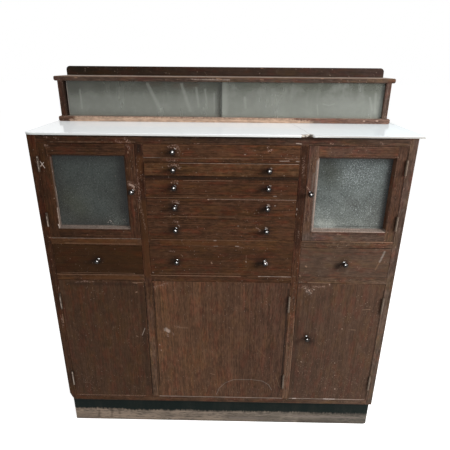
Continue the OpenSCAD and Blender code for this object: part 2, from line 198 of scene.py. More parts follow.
def makeOakGrain():  # the grain runs along Z of the vector
    tree, takes, gives = startGroup("oakGrain", ["Vector"], [], ["Tone", *oakClouds, "Pores", "Height"])
    vector = takes["Vector"]
    aside = swing(tree, addNoise(tree, vector, (2.5, 2.5, 1.1), 1.0), 0.03)
    swayed = vectorCalc(tree, "ADD", vector, addNode(tree, "CombineXYZ", {"X": aside, "Y": aside}).outputs[0])
    fine = addNoise(tree, swayed, (250, 250, 48), 2.0, 0.6)
    stripes = addNoise(tree, swayed, (240, 240, 2.6), 1.0, 0.6)
    flames = addNoise(tree, swayed, (45, 45, 5), 3.0, 0.6)
    blotches = addNoise(tree, vector, (22, 22, 18), 5.0, 0.75)
    shares = [(fine, 0.42), (stripes, 0.28), (flames, 0.06), (blotches, 0.24)]
    tone = joined(tree, "ADD", [scaled(tree, noise, share) for noise, share in shares])
    pores = addNoise(tree, swayed, (1400, 1400, 45), 1.0)
    pores = scaled(tree, spread(tree, pores, 0.56, 0.70), spread(tree, stripes, 0.62, 0.40))
    given = {"Tone": spread(tree, tone, 0.34, 0.66), "Pores": pores, "Height": calc(tree, "SUBTRACT", fine, pores)}
    for socket, (shift, stretch, roughness, span) in oakClouds.items():
        cloud = addNoise(tree, vectorCalc(tree, "ADD", vector, shift), stretch, 4.0, roughness)
        given[socket] = spread(tree, cloud, *span)
    setInputs(tree, gives, given)
    return tree


def makeBoardEdge():  # distance to the nearest long edge of one board, or 1 away from the board
    tree, takes, gives = startGroup("boardEdge", ["Vector", "Centre", "Half"], [], ["Distance"])
    away = vectorCalc(tree, "ABSOLUTE", vectorCalc(tree, "SUBTRACT", takes["Vector"], takes["Centre"]))
    left = addNode(tree, "SeparateXYZ", {0: vectorCalc(tree, "SUBTRACT", takes["Half"], away)}).outputs
    low = calc(tree, "MINIMUM", left["X"], left["Y"])
    high = calc(tree, "MAXIMUM", left["X"], left["Y"])
    second = calc(tree, "MAXIMUM", low, calc(tree, "MINIMUM", high, left["Z"]))
    outside = calc(tree, "LESS_THAN", calc(tree, "MINIMUM", low, left["Z"]), -0.0003)
    setInputs(tree, gives, {"Distance": calc(tree, "MAXIMUM", second, outside)})
    return tree


def makeEdgeWear():  # rubbed and chipped strip along the edges, up to Wear wide
    tree, takes, gives = startGroup("edgeWear", ["Vector"], ["Distance", "Wear"], ["Mask"])
    long = addNoise(tree, takes["Vector"], 14)
    chips = addNoise(tree, takes["Vector"], 160, 3.0, 0.65)
    reach = scaled(tree, spread(tree, long, 0.38, 0.66, 0.1, 1.0), spread(tree, chips, 0.35, 0.70, 0.1, 1.4))
    depth = calc(tree, "SUBTRACT", scaled(tree, reach, takes["Wear"]), takes["Distance"])
    setInputs(tree, gives, {"Mask": spread(tree, depth, -0.0002, 0.0006)})
    return tree


def makeStroke():  # mark along a line from Start to End: scratch, flake or stain
    tree, takes, gives = startGroup("stroke", ["Vector", "Start", "End"], ["Width", "Ragged", "Soft"], ["Mask"])
    reach = vectorCalc(tree, "SUBTRACT", takes["Vector"], takes["Start"])
    line = vectorCalc(tree, "SUBTRACT", takes["End"], takes["Start"])
    length = calc(tree, "MAXIMUM", vectorCalc(tree, "DOT_PRODUCT", line, line), 1e-9)
    passed = calc(tree, "DIVIDE", vectorCalc(tree, "DOT_PRODUCT", reach, line), length, clamp=True)
    nearest = addNode(tree, "VectorMath", {0: line, "Scale": passed}, operation="SCALE").outputs["Vector"]
    away = vectorCalc(tree, "LENGTH", vectorCalc(tree, "SUBTRACT", reach, nearest))
    away = calc(tree, "ADD", away, swing(tree, addNoise(tree, takes["Vector"], 190, 3.0, 0.6), takes["Ragged"]))
    inside = calc(tree, "SUBTRACT", scaled(tree, takes["Width"], 0.5), away)
    setInputs(tree, gives, {"Mask": spread(tree, calc(tree, "DIVIDE", inside, takes["Soft"]), -0.5, 0.5)})
    return tree


def makeFlecks():  # small irregular chips, to break up a mark or to scatter over worn wood
    tree, takes, gives = startGroup("flecks", ["Vector"], [], ["Chips", "Scattered"])
    chips = addNoise(tree, takes["Vector"], (360, 360, 280), 3.0, 0.65)
    small = addNoise(tree, takes["Vector"], (340, 340, 240), 2.0, 0.6)
    ticks = addNoise(tree, takes["Vector"], (520, 520, 42), 2.0, 0.5)
    where = spread(tree, addNoise(tree, takes["Vector"], 8), 0.44, 0.66)
    ticks = scaled(tree, spread(tree, ticks, 0.71, 0.78), 0.7)
    scattered = calc(tree, "MAXIMUM", spread(tree, small, 0.685, 0.75), ticks)
    setInputs(tree, gives, {"Chips": spread(tree, chips, 0.48, 0.66), "Scattered": scaled(tree, scattered, where)})
    return tree


def makeSpecks():  # small light dots; Density is the share of the cells that hold one
    tree, takes, gives = startGroup("specks", ["Vector"], ["Density"], ["Mask"])
    bend = addNoise(tree, takes["Vector"], 300)
    bent = vectorCalc(tree, "ADD", takes["Vector"], vectorCalc(tree, "MULTIPLY", bend, (0.003,) * 3))
    masks = []
    for scale, shift in ((170.0, 0.0), (300.0, 5.0)):
        moved = vectorCalc(tree, "ADD", bent, (shift,) * 3)
        cells = addNode(tree, "TexVoronoi", {"Vector": moved, "Scale": scale}).outputs
        tint = addNode(tree, "SeparateColor", {0: cells["Color"]}).outputs
        reach = spread(tree, tint[1], 0.0, 1.0, 0.14, 0.40)
        dot = spread(tree, cells["Distance"], reach, calc(tree, "SUBTRACT", reach, 0.12))
        masks.append(scaled(tree, dot, calc(tree, "LESS_THAN", tint[0], takes["Density"])))
    setInputs(tree, gives, {"Mask": joined(tree, "MAXIMUM", masks)})
    return tree


def makeDust():  # fine specks and faint smears
    tree, takes, gives = startGroup("dust", ["Vector"], [], ["Specks", "Smears"])
    specks = addNoise(tree, takes["Vector"], 420, 1.0)
    patches = addNoise(tree, takes["Vector"], 9)
    specks = scaled(tree, spread(tree, specks, 0.70, 0.76), spread(tree, patches, 0.42, 0.62))
    smears = addNoise(tree, takes["Vector"], (22, 22, 6), 4.0, 0.65)
    setInputs(tree, gives, {"Specks": specks, "Smears": spread(tree, smears, 0.40, 0.72)})
    return tree


oakGrain = makeOakGrain()
boardEdge = makeBoardEdge()
edgeWear = makeEdgeWear()
stroke = makeStroke()
flecks = makeFlecks()
specks = makeSpecks()
dust = makeDust()


# Marks and oak, used by several pieces

along = {  # turn that lays the grain's Z along the board
    "up": (0, 0, 0), "across": (0, math.radians(90), 0), "deep": (math.radians(90), 0, 0),
}

markLook = {  # linear colour, strength, whether it is broken into chips, and the soft share of its width
    # the first kind on the next line is dirt together with painted shade in gaps, under overhangs and round the knobs
    "grimeAndShade": ((0.012, 0.008, 0.006), 0.8, False, 0.9), "faint": ((0.16, 0.090, 0.055), 0.65, False, 0),
    "shade": ((0.018, 0.011, 0.008), 0.42, False, 1.0), "raw": ((0.485, 0.335, 0.243), 0.95, False, 0.3),
    "bloom": ((0.215, 0.175, 0.150), 0.7, False, 0.3), "ash": ((0.30, 0.23, 0.19), 0.8, False, 0.2),
    "pale": ((0.25, 0.15, 0.10), 0.75, False, 0), "chips": ((0.33, 0.21, 0.165), 0.85, True, 0),
    "orange": ((0.105, 0.042, 0.014), 0.45, False, 0.7), "bare": ((0.42, 0.29, 0.23), 0.8, False, 0),
    "white": ((0.60, 0.50, 0.44), 0.85, False, 0), "chalk": ((0.145, 0.118, 0.100), 0.5, False, 0.5),
    # the first kind on the next line is painted light on the obscure glass
    "paintedLight": ((0.105, 0.128, 0.120), 0.4, False, 1.0), "olive": ((0.085, 0.088, 0.045), 0.35, False, 1.0),
    # the first kind on the next line is dust smears on the panes and painted light on the obscure glass
    "smearAndGlow": ((0.58, 0.60, 0.54), 0.35, False, 0.8), "film": ((0.40, 0.38, 0.30), 0.6, False, 0.6),
}
tonedMarks = ("raw", "bloom", "ash")  # the grain's tone shows through these

oak = {
    "contrast": (0.50, 1.62), "specks": 0.07, "scuffs": 0.3, "rough": 0.45,  # for boards that name none of their own
    "tints": {"Warm": (0.8, (1.20, 1.18, 0.88)), "Dull": (0.7, (0.72, 0.76, 0.82)), "Red": (0.8, (1.28, 0.88, 0.86))},
    "haze": (2.2, 2.6, 3.0), "pores": 0.2, "bare": 2.2,  # factors on the board's colour
    "dustTone": (0.34, 0.27, 0.22), "scuffTone": (0.28, 0.19, 0.14), "speckTone": (0.32, 0.23, 0.18),
    "specular": 0.05, "bump": 0.35, "bumpDepth": 0.0004,
}


def startMaterial(name):
    material = bpy.data.materials.new(name)
    material.use_nodes = True
    tree = material.node_tree
    tree.nodes.clear()
    place = addNode(tree, "TexCoord").outputs["Object"]
    shader = addNode(tree, "BsdfPrincipled")
    tree.links.new(shader.outputs[0], addNode(tree, "OutputMaterial").inputs[0])
    return material, tree, place, shader


def addStroke(tree, place, start, end, width, ragged, soft):  # from start to end as (x, z, y), all in millimetres
    return useGroup(tree, stroke, {"Vector": place, "Start": spot(*start), "End": spot(*end), "Width": width / 1000,
                                   "Ragged": ragged / 1000, "Soft": soft / 1000})["Mask"]


def maskOf(tree, place, marks, y, share):  # marks of one kind; a mark may end with its own depth behind y
    masks = []
    for x, z, toX, toZ, width, ragged, *deeper in marks:
        depth = y + sum(deeper)
        soft = share * width + 0.25 * ragged + 0.4
        masks.append(addStroke(tree, place, (x, z, depth), (toX, toZ, depth), width, ragged, soft))
    return joined(tree, "MAXIMUM", masks)


def addMarks(tree, place, colour, marks, y, tone=1.0):
    worn, chips = 0.0, None
    for kind, (paint, strength, broken, share) in markLook.items():
        if kind in marks:
            mask = maskOf(tree, place, marks[kind], y, share)
            if broken:
                chips = chips or useGroup(tree, flecks, {"Vector": place})["Chips"]
                mask = scaled(tree, mask, chips)
            mask = scaled(tree, mask, strength)
            toned = mixColour(tree, 1.0, paint, tone, "MULTIPLY") if kind in tonedMarks else paint
            colour = mixColour(tree, mask, colour, toned)
            worn = calc(tree, "MAXIMUM", mask, worn)
    return colour, worn


def times(colour, *factors):
    return tuple(part * factor for part, factor in zip(colour, factors * 3 if len(factors) == 1 else factors))


def layGrain(tree, place, look, way):
    return addNode(tree, "Mapping", {"Vector": place, "Location": look.get("shift", (0, 0, 0)),
                                     "Rotation": along[way]}).outputs[0]


def driftOver(tree, place, colour, drift):  # slow change of tone: axis, from and to in millimetres, both factors
    axis, start, end, first, last = drift
    start, end = [spot(distance, distance)["XYZ".index(axis)] for distance in (start, end)]
    share = ranged(tree, partOf(tree, place, axis), start, end)
    return mixColour(tree, 1.0, colour, mixColour(tree, share, first, last), "MULTIPLY")


def addSpecks(tree, place, colour, look, y):  # over the board, more in its dusty places and above its foot
    share = look.get("specks", oak["specks"])
    density = spread(tree, addNoise(tree, place, 9), 0.42, 0.64, 0.3 * share, share)
    dusty = maskOf(tree, place, look.get("dusty", ()), y, 0.8)
    if dusty is not None:
        density = calc(tree, "ADD", density, scaled(tree, dusty, 0.3))
    if "foot" in look:  # height in metres below which the specks grow denser, and their share at the foot
        start, most = look["foot"]
        density = calc(tree, "ADD", density, spread(tree, partOf(tree, place, "Z"), start, 0.15, 0.0, most))
    mask = useGroup(tree, specks, {"Vector": place, "Density": density})["Mask"]
    return mixColour(tree, scaled(tree, mask, 0.5), colour, oak["speckTone"])


def addDust(tree, place, colour, top):  # dust lies unevenly on the top, at this height in millimetres
    lying = spread(tree, partOf(tree, place, "Z"), (top - 1.4) / 1000, (top - 0.2) / 1000, 0.0, 0.65)
    uneven = spread(tree, addNoise(tree, place, 13, 4.0, 0.65), 0.34, 0.62, 0.45, 1.0)
    return mixColour(tree, scaled(tree, lying, uneven), colour, oak["dustTone"])


def oakMaterial(name, look, boards=(), y=0.0):
    material, tree, place, shader = startMaterial(name)
    mid = look["colour"]
    distances, crossings = [], []
    for centre, half in boards:
        one = useGroup(tree, boardEdge, {"Vector": place, "Centre": centre, "Half": half})["Distance"]
        distances.append(one)
        if look.get("framed") and half.x > half.z:
            crossings.append(calc(tree, "LESS_THAN", one, 0.5))
    laid = layGrain(tree, place, look, look["grain"])
    if crossings:  # the rails' grain runs across
        laid = addNode(tree, "Mix", {0: joined(tree, "MAXIMUM", crossings), 4: laid,
                                     5: layGrain(tree, place, look, "across")}, data_type="VECTOR").outputs[1]
    grain = useGroup(tree, oakGrain, {"Vector": laid})
    low, high = look.get("contrast", oak["contrast"])
    colour = addRamp(tree, grain["Tone"], [(0.0, times(mid, low)), (0.5, mid), (1.0, times(mid, high))])
    tinted = look.get("tinted", 1.0)
    for socket, (strength, tint) in oak["tints"].items():
        colour = mixColour(tree, scaled(tree, grain[socket], strength * tinted), colour, tint, "MULTIPLY")
    colour = mixColour(tree, scaled(tree, grain["Haze"], 0.30 * tinted), colour, times(mid, *oak["haze"]))
    colour = mixColour(tree, scaled(tree, grain["Pores"], 0.4), colour, times(mid, oak["pores"]))
    for drift in look.get("drift", ()):
        colour = driftOver(tree, place, colour, drift)
    worn = 0.0
    if distances:
        worn = useGroup(tree, edgeWear, {"Vector": place, "Distance": joined(tree, "MINIMUM", distances),
                                         "Wear": look["wear"] / 1000})["Mask"]
        worn = scaled(tree, worn, 0.5)
        colour = mixColour(tree, worn, colour, times(mid, oak["bare"]))
    tone = spread(tree, grain["Tone"], 0, 1, 0.75, 1.25)
    colour, marked = addMarks(tree, place, colour, look, y, tone)
    if "dust" in look:
        colour = addDust(tree, place, colour, look["dust"])
    scuffs = useGroup(tree, flecks, {"Vector": place})["Scattered"]
    colour = mixColour(tree, scaled(tree, scuffs, look.get("scuffs", oak["scuffs"])), colour, oak["scuffTone"])
    rough = look.get("rough", oak["rough"])
    setInputs(tree, shader, {
        "Base Color": addSpecks(tree, place, colour, look, y),
        "Roughness": calc(tree, "ADD", scaled(tree, calc(tree, "MAXIMUM", worn, marked), 0.2),
                          spread(tree, grain["Dull"], 0.0, 1.0, rough, rough + 0.12)),
        "Specular IOR Level": oak["specular"],
        "Normal": addBump(tree, grain["Height"], oak["bump"], oak["bumpDepth"]),
    })
    return material


# Small tools for meshes, with their limits in metres and radians

weldDistance = 0.00002  # points nearer than this become one
flatAngle = math.radians(1)  # faces that turn less than this become one
sharpAngle = 0.5  # edges that turn more than this are taken off
narrowFace = 0.003  # narrower faces are shaded smooth
thinnestBoard = 0.003  # a part narrower than this at its front, such as a splayed bead, is no board
flatness = 0.0001  # points this near the front lie on it


def mergedCopy(node):
    shape = bmesh.new()
    shape.from_mesh(frame["nodes"][node].data)
    bmesh.ops.remove_doubles(shape, verts=shape.verts, dist=weldDistance)
    bmesh.ops.dissolve_limit(shape, angle_limit=flatAngle, verts=shape.verts, edges=shape.edges)
    return shape


def boardsOf(shape):  # middle and half size of each board, measured on its front
    boards, left = [], set(shape.verts)
    while left:
        island, queue = set(), [next(iter(left))]
        while queue:
            vert = queue.pop()
            if vert not in island:
                island.add(vert)
                queue += [edge.other_vert(vert) for edge in vert.link_edges]
        left -= island
        front = min(vert.co.y for vert in island)
        face = [vert.co for vert in island if vert.co.y < front + flatness]
        low = Vector((min(co.x for co in face), front, min(co.z for co in face)))
        high = Vector((max(co.x for co in face), max(vert.co.y for vert in island), max(co.z for co in face)))
        if min(high - low) > thinnestBoard:
            boards.append(((low + high) / 2, (high - low) / 2))
    boards.sort(key=lambda board: tuple(board[0]))
    return boards


def soften(shape, width, segments=2):  # takes the sharp outer edges off
    edges = [edge for edge in shape.edges
             if edge.is_manifold and edge.is_convex and edge.calc_face_angle() > sharpAngle]
    bmesh.ops.bevel(shape, geom=edges, offset=width, offset_type="OFFSET", segments=segments, profile=0.5,
                    affect="EDGES", clamp_overlap=True, material=-1)
    for face in shape.faces:
        longest = max(edge.calc_length() for edge in face.edges)
        face.smooth = face.calc_area() / longest < narrowFace


def frontOf(node):  # how far its front lies behind the doors' plane, in millimetres
    return (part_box(node)[0].y - frontY) * 1000


def finishPiece(shape, name, material, nodes):
    data = bpy.data.meshes.new(name)
    shape.to_mesh(data)
    shape.free()
    data.materials.append(material)
    piece = bpy.data.objects.new(name, data)
    bpy.context.scene.collection.objects.link(piece)
    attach(piece, bodyOf[nodes[0]])
    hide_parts(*nodes)
    return piece


def coverNode(node, material):  # the CAD node itself stays and takes the material
    data = frame["nodes"][node].data
    data.materials.clear()
    data.materials.append(material)


# Oak boards. After its colour and grain each look lists its marks by kind, as (x, z, to x, to z, width, ragged) in
# millimetres, and a mark on a bead ends with its depth. Kinds are in markLook, and dusty places hold more specks.

oakBoards = {
    "side_left": {
        "colour": (0.047, 0.02, 0.01), "grain": "up", "shift": (3.1, 0, 0), "wear": 4,
        "drift": [("Z", 150, 800, (1.2, 1.35, 1.4), (0.95, 0.9, 0.85))],
        "chips": [(-584, 1090, -580, 1076, 8, 5), (-584, 520, -582, 470, 6, 6), (-577, 640, -577, 590, 4, 4)],
        "pale": [(-580, 826, -576, 826, 4, 2), (-576, 905, -576, 868, 3, 3), (-579, 520, -579, 484, 3, 3)]},
    "side_right": {
        # greyer and paler than its left-hand twin: painted sheen of the key lamp
        "colour": (0.0878, 0.0511, 0.0349), "grain": "up", "shift": (7.7, 0, 0), "wear": 4,
        "drift": [("Z", 150, 1150, (0.98, 1.14, 1.22), (0.86, 0.88, 0.95))],
        "dusty": [(577, 1110, 577, 780, 8, 4)]},
    "dividers": {
        "colour": (0.079, 0.041, 0.025), "grain": "up", "shift": (1.3, 0, 0), "wear": 3,
        "drift": [("Z", 350, 820, (1.34, 1.42, 1.44), (0.61, 0.45, 0.38))],
        "chips": [(-267, 1060, -265, 1000, 6, 5), (-264, 1000, -263, 936, 7, 5), (-262, 930, -255, 900, 7, 6),
            (-252, 880, -250, 846, 3, 6), (-267, 1040, -263, 950, 9, 8), (-260, 930, -252, 850, 4, 8),
            (257, 1110, 256, 1060, 6, 6)],
        "shade": [(-262, 960, -262, 690, 34, 10), (-258, 950, -252, 850, 26, 8), (-262, 1140, -262, 1070, 24, 10),
            (257, 1150, 257, 820, 34, 10)],
        # the thin dark line by the lower left door is painted shadow in the gap
        "grimeAndShade": [(-260, 955, -257, 835, 24, 8), (-268, 655, -268, 160, 3, 2), (-256, 1140, -256, 1124, 10, 8)],
        "orange": [(-256, 1100, -256, 1060, 16, 8), (-254, 950, -254, 690, 28, 8)],
        "dusty": [(257, 1120, 257, 1060, 14, 8), (-262, 1130, -262, 880, 14, 8), (257, 1120, 257, 1000, 16, 8),
            (257, 900, 257, 150, 10, 8), (264, 580, 266, 280, 8, 8)],
        "pale": [(-268, 950, -268, 934, 3, 2), (267, 520, 268, 440, 1.6, 4), (268, 420, 268, 190, 2, 4)],
        "ash": [(246, 941, 246, 936, 3, 2), (245, 922, 245, 919, 3, 2)]},
    "frame_rails": {
        "colour": (0.064, 0.029, 0.016), "grain": "across", "shift": (0, 0, 2.2), "wear": 3,
        # paler and greyer to the right: painted sheen and falloff of the key lamp; the second drift makes the top rail
        # darker than the lower rails, painted shade under the glass top's overhang
        "drift": [("X", -600, 600, (0.9, 0.85, 0.72), (1.14, 1.5, 1.84)),
                  ("Z", 1000, 1100, (1.14, 1.14, 1.1), (0.8, 0.8, 0.82))],
        "chips": [(-546, 1166, -536, 1162, 7, 4), (-512, 1162, -504, 1158, 7, 4), (-324, 1154, -308, 1148, 9, 8),
            (-296, 1160, -284, 1148, 10, 8), (-82, 1146, -68, 1146, 5, 4), (334, 1153, 340, 1151, 6, 4),
            (368, 1147, 374, 1147, 5, 3), (484, 1155, 494, 1153, 6, 4), (520, 144, 560, 143, 6, 6),
            (-560, 144, -300, 144, 5, 4)],
        "pale": [(-538, 1148, -266, 1150, 1.0, 3), (-573, 686.5, -269, 687.5, 1.6, 1.5),
            (398, 825, 572, 825, 2, 1), (304, 667, 381, 667, 3, 2)],
        "ash": [(-572, 825, -268, 826, 1.6, 1.2), (229, 1151, 244, 1150, 3, 2),
            (-241, 144.2, 242, 144.2, 3.6, 1.5), (272, 144.2, 566, 144.2, 3.4, 2)],
        "faint": [(-530, 806, -291, 806, 4, 3), (272, 825, 398, 825, 2, 1), (-570, 144, -300, 144, 2.4, 2)],
        "orange": [(-480, 815, -290, 815, 16, 8), (-480, 677, -290, 677, 14, 8), (-100, 813, 60, 813, 16, 8)],
        # the two long dark lines at the top are painted shadow under the glass top's overhang; the short one on the
        # right darkens the rail's lower edge
        "grimeAndShade": [(434, 803, 567, 803, 4, 3), (-240, 1166, 330, 1166, 9, 5), (-560, 1168, 560, 1168, 6, 4)],
        "bare": [(290, 145, 300, 144, 4, 3)],
        "white": [(408, 144.5, 452, 144.5, 3, 3), (286, 144.5, 298, 144.5, 3, 3)],
        "dusty": [(-570, 140, 570, 140, 16, 8), (272, 677, 560, 677, 14, 8), (272, 815, 560, 815, 14, 8)]},
    "drawer_rails": {
        "colour": (0.062, 0.028, 0.014), "grain": "across", "shift": (0, 0, 5.2), "wear": 2,
        "ash": [(182, 1095.5, 211, 1096, 1.8, 1.5), (233, 1095, 241, 1095, 3, 2), (169, 981, 177, 981, 3, 2),
            (-24, 802, -12, 802, 2.6, 2), (48, 803, 60, 803, 2.6, 2), (130, 689, 243, 689, 2, 1.2),
            (-24, 823, -17, 823, 3, 2)],
        "chips": [(202, 1098, 212, 1097, 6, 4), (-168, 1095, -140, 1096, 9, 6)],
        # the dark band under the second drawer is its painted shadow
        "grimeAndShade": [(-240, 1040, 240, 1040, 13, 5)],
        "faint": [(-243, 972, -52, 972, 3, 1), (-43, 972, 242, 972, 1.2, 1), (-188, 908, 45, 908, 2, 1),
            (-98, 802, 13, 802, 2, 1), (-236, 824, 192, 826, 2, 2)],
        "pale": [(-243, 688, 68, 688, 2, 1.5)],
        "orange": [(-200, 813, 60, 813, 16, 8)]},
    "gallery_ends": {
        "colour": (0.08, 0.048, 0.034), "specks": 0.16, "grain": "up", "shift": (9.2, 0, 0), "wear": 3,
        # darker on the left, paler and greyer to the right: painted falloff and sheen of the key lamp
        "drift": [("X", -580, 580, (0.72, 0.62, 0.58), (1.05, 1.13, 1.22))],
        # the dark marks below are painted shadow on the end's inner face next to the pane
        "grimeAndShade": [(-566, 1310, -566, 1200, 26, 4, 16)],
        "shade": [(-564, 1310, -564, 1200, 40, 8, 14)]},
    "glazed_left_frame": {
        "colour": (0.054, 0.024, 0.0125), "framed": True, "grain": "up", "shift": (2.6, 0, 0.4), "wear": 3,
        # darker on the left, paler and greyer to the right: painted falloff and sheen of the key lamp
        "drift": [("X", -574, -270, (0.74, 0.73, 0.66), (1.2, 1.22, 1.28))],
        "white": [(-569, 1086, -558, 1066, 2.6, 2.2), (-571, 1071, -559, 1083, 2.2, 2.2),
            (-543, 874, -540, 861, 2.4, 2.4, 1)],
        "pale": [(-573, 1067, -563, 1076, 2.4, 2), (-290, 1120, -290, 1116, 4, 2), (-281, 1004, -279, 998, 4, 3)],
        "chips": [(-546, 1137, -536, 1133, 8, 6), (-292, 1140, -284, 1128, 9, 8), (-294, 1018, -276, 1006, 18, 9)],
        # the chalk, bloom and ash marks on the bead below are dust together with painted highlight where the bead
        # faces the key lamp and along its arrises
        "chalk": [(-540, 1098, -540, 866, 6, 4, 9), (-536, 861, -306, 861, 5, 3, 2)],
        "bloom": [(-538, 1000, -538, 868, 4, 3, 12), (-540, 864, -304, 864, 12, 3, 7)],
        "ash": [(-541, 930, -541, 864, 5, 5, 6), (-543, 861, -310, 861, 2, 1, 1),
            (-536, 868, -304, 868, 2.4, 1, 12)],
        "bare": [(-292, 1015, -280, 1008, 7, 7), (-284, 999, -281, 997, 3, 3)],
        # dirt with the knob's painted shadow
        "grimeAndShade": [(-302, 985, -288, 992, 14, 10)],
        "dusty": [(-278, 1120, -278, 900, 10, 8)]},
    "glazed_right_frame": {
        # greyer and paler than its left-hand twin: painted sheen of the key lamp
        "colour": (0.0725, 0.0407, 0.029), "framed": True, "grain": "up", "shift": (6.1, 0, 1.7), "wear": 3,
        "drift": [("X", 270, 574, (1.12, 1.1, 1.1), (0.84, 0.75, 0.66)),
                  ("Z", 866, 846, (1, 1, 1), (1.06, 1.27, 1.4))],
        "pale": [(272, 1016, 274, 1011, 2.4, 2.4)],
        "chips": [(276, 1010, 284, 1002, 9, 6), (388, 853, 396, 851, 6, 4)],
        # the ash, bloom and chalk marks on the beads below are dust together with painted highlight where they face
        # the key lamp and along their arrises
        "ash": [(301, 861, 540, 861, 3, 1, 1), (306, 868, 460, 868, 5, 2, 11), (303, 1098, 303, 864, 5, 5, 3)],
        "bloom": [(304, 864, 540, 864, 14, 3, 7), (303, 1098, 303, 866, 16, 4, 7), (299, 1096, 301, 866, 6, 5)],
        "chalk": [(297, 1096, 299, 866, 4, 4), (291, 1056, 289, 992, 7, 8)],
        "dusty": [(290, 1110, 290, 880, 14, 8)],
        "faint": [(278, 1100, 276, 1010, 2, 3)]},
    "lower_left_door": {
        "colour": (0.0625, 0.0313, 0.0172), "contrast": (0.75, 1.3), "tinted": 0.8, "foot": (0.32, 0.07),
        "grain": "up", "shift": (0.4, 0, 0), "wear": 3,
        "ash": [(-279.5, 466, -292, 434, 2.6, 2)],
        "pale": [(-314, 433, -308, 427, 2.4, 2), (-298, 620, -302, 618, 4, 3), (-305, 657, -275, 657.5, 2, 2),
            (-310, 657, -296, 655, 3, 2)],
        "chips": [(-480, 662, -462, 658, 6, 5), (-514, 656, -446, 659, 4, 4)],
        "shade": [(-540, 650, -300, 650, 12, 6), (-283, 640, -283, 200, 14, 6)],
        "dusty": [(-550, 240, -500, 200, 30, 16)]},
    "lower_centre_door": {
        "colour": (0.0812, 0.0412, 0.0245), "contrast": (0.58, 1.5), "tinted": 0.6, "foot": (0.36, 0.09),
        "grain": "up", "shift": (4.9, 0, 0), "wear": 3,
        "drift": [("X", -243, 243, (1.38, 1.35, 1.23), (0.84, 0.85, 0.91))],
        "ash": [(-201, 461, -193, 455, 15, 11)],
        "bare": [(-197, 460, -194, 452, 8, 7), (-229, 394, -228.5, 391, 3, 2), (-224.5, 369, -224, 366, 3, 2)],
        "chips": [(-198, 440, -196, 432, 8, 6), (-178, 446, -176, 440, 7, 5), (-150, 474, -170, 478, 5, 4),
            (-236, 640, -190, 655, 9, 8)],
        "bloom": [(-16, 158, -4, 190, 2, 1), (-4, 190, 17, 215, 2, 1), (17, 215, 50, 233, 2, 1),
            (50, 233, 120, 235, 2, 1), (120, 235, 162, 229, 2, 1), (162, 229, 188, 211, 2, 1),
            (188, 211, 202, 184, 2, 1)],
        "faint": [(140, 378, 169, 346, 2, 1), (213, 258, 234, 196, 2, 1), (205, 240, 214, 190, 2, 1)],
        "pale": [(-163, 470, -120, 470, 2, 1), (-40, 262, -20, 254, 2, 1)],
        # both dark lines are painted shadow in the gaps at the door's edges
        "grimeAndShade": [(-239, 655, -238, 200, 4, 3), (238, 640, 238, 190, 6, 5)]},
    "lower_right_door": {
        # greyer and paler than its left-hand twin: painted sheen of the key lamp
        "colour": (0.074, 0.0406, 0.026), "contrast": (0.74, 1.3), "tinted": 0.65, "specks": 0.11,
        "foot": (0.42, 0.16), "scuffs": 0.4, "grain": "up", "shift": (8.3, 0, 0), "wear": 3,
        # the thin dark line at the right edge is painted shadow in the gap; the wide one is dirt with the knob's
        # painted shadow
        "grimeAndShade": [(571.5, 640, 571.5, 165, 2.4, 1.5), (318, 430, 330, 420, 30, 14)],
        "dusty": [(290, 655, 340, 645, 26, 18), (300, 640, 312, 620, 24, 16), (373, 412, 395, 410, 16, 10),
            (306, 330, 320, 260, 26, 20), (430, 324, 450, 196, 22, 20), (464, 540, 470, 480, 16, 10)],
        "bare": [(379, 662, 381, 660, 3, 2), (301, 634, 304, 631, 3, 3), (309, 638, 313, 634, 4, 4),
            (306, 326, 306.5, 324, 3, 2), (434, 323, 434, 321, 3, 2), (444, 478, 444, 476, 3, 2),
            (447, 197, 448, 195, 4, 2), (440, 264, 441, 262, 2.4, 2), (410, 201, 411, 199, 2.4, 2)],
        "chips": [(292, 648, 316, 632, 16, 16), (322, 652, 362, 652, 7, 8)],
        "chalk": [(302, 636, 314, 626, 8, 18)],
        "ash": [(317, 628, 319, 624, 3, 3), (295, 645, 298, 644, 3, 3), (326, 641, 329, 640, 3, 3)],
        "pale": [(476, 474, 495, 473, 2, 1), (508, 560, 535, 562, 2, 1), (297, 281, 300, 279, 3, 2)],
        "shade": [(280, 520, 280, 200, 16, 8)]},
    # On the drawer fronts the dark patch round each knob is dirt together with the knob's painted shadow, and the
    # small ash and white spots just above and to the right of a knob are painted highlight of the knob's rose.
    "drawer_1_front": {
        "colour": (0.0739, 0.0333, 0.0171), "grain": "across", "shift": (0, 0, 1.1), "wear": 2,
        "grimeAndShade": [(-158, 1120, -153, 1117, 30, 16)],
        "chips": [(-161, 1137, -142, 1139, 11, 6), (-137, 1137, -132, 1122, 11, 7), (143, 1142, 143, 1136, 8, 5),
            (146, 1128, 158, 1130, 7, 5), (200, 1104, 240, 1103, 5, 4)],
        "white": [(-145, 1132, -142, 1130, 3, 3)],
        "ash": [(72, 1115, 75, 1115, 2.6, 2)],
        "pale": [(-190, 1101.2, 85, 1101.2, 2, 1.5)],
        "bloom": [(-243, 1102.4, -191, 1102.4, 1.6, 1.2)]},
    "drawer_2_front": {
        "colour": (0.0775, 0.0358, 0.0165), "grain": "across", "shift": (0, 0, 3.4), "wear": 2,
        "grimeAndShade": [(-158, 1063, -152, 1061, 28, 14), (140, 1062, 148, 1064, 26, 14)],
        "ash": [(-131, 1086.8, 24, 1086.8, 1.8, 1), (24, 1086.8, 241, 1086.8, 1.4, 0.8),
            (-144, 1079, -141, 1077, 3, 3), (155, 1074, 157, 1072, 4, 3)],
        "chips": [(-163, 1080, -144, 1083, 12, 7), (-139, 1082, -130, 1072, 12, 7)]},
    "drawer_3_front": {
        "colour": (0.0625, 0.0269, 0.0134), "contrast": (0.58, 1.5), "grain": "across", "shift": (0, 0, 6.8),
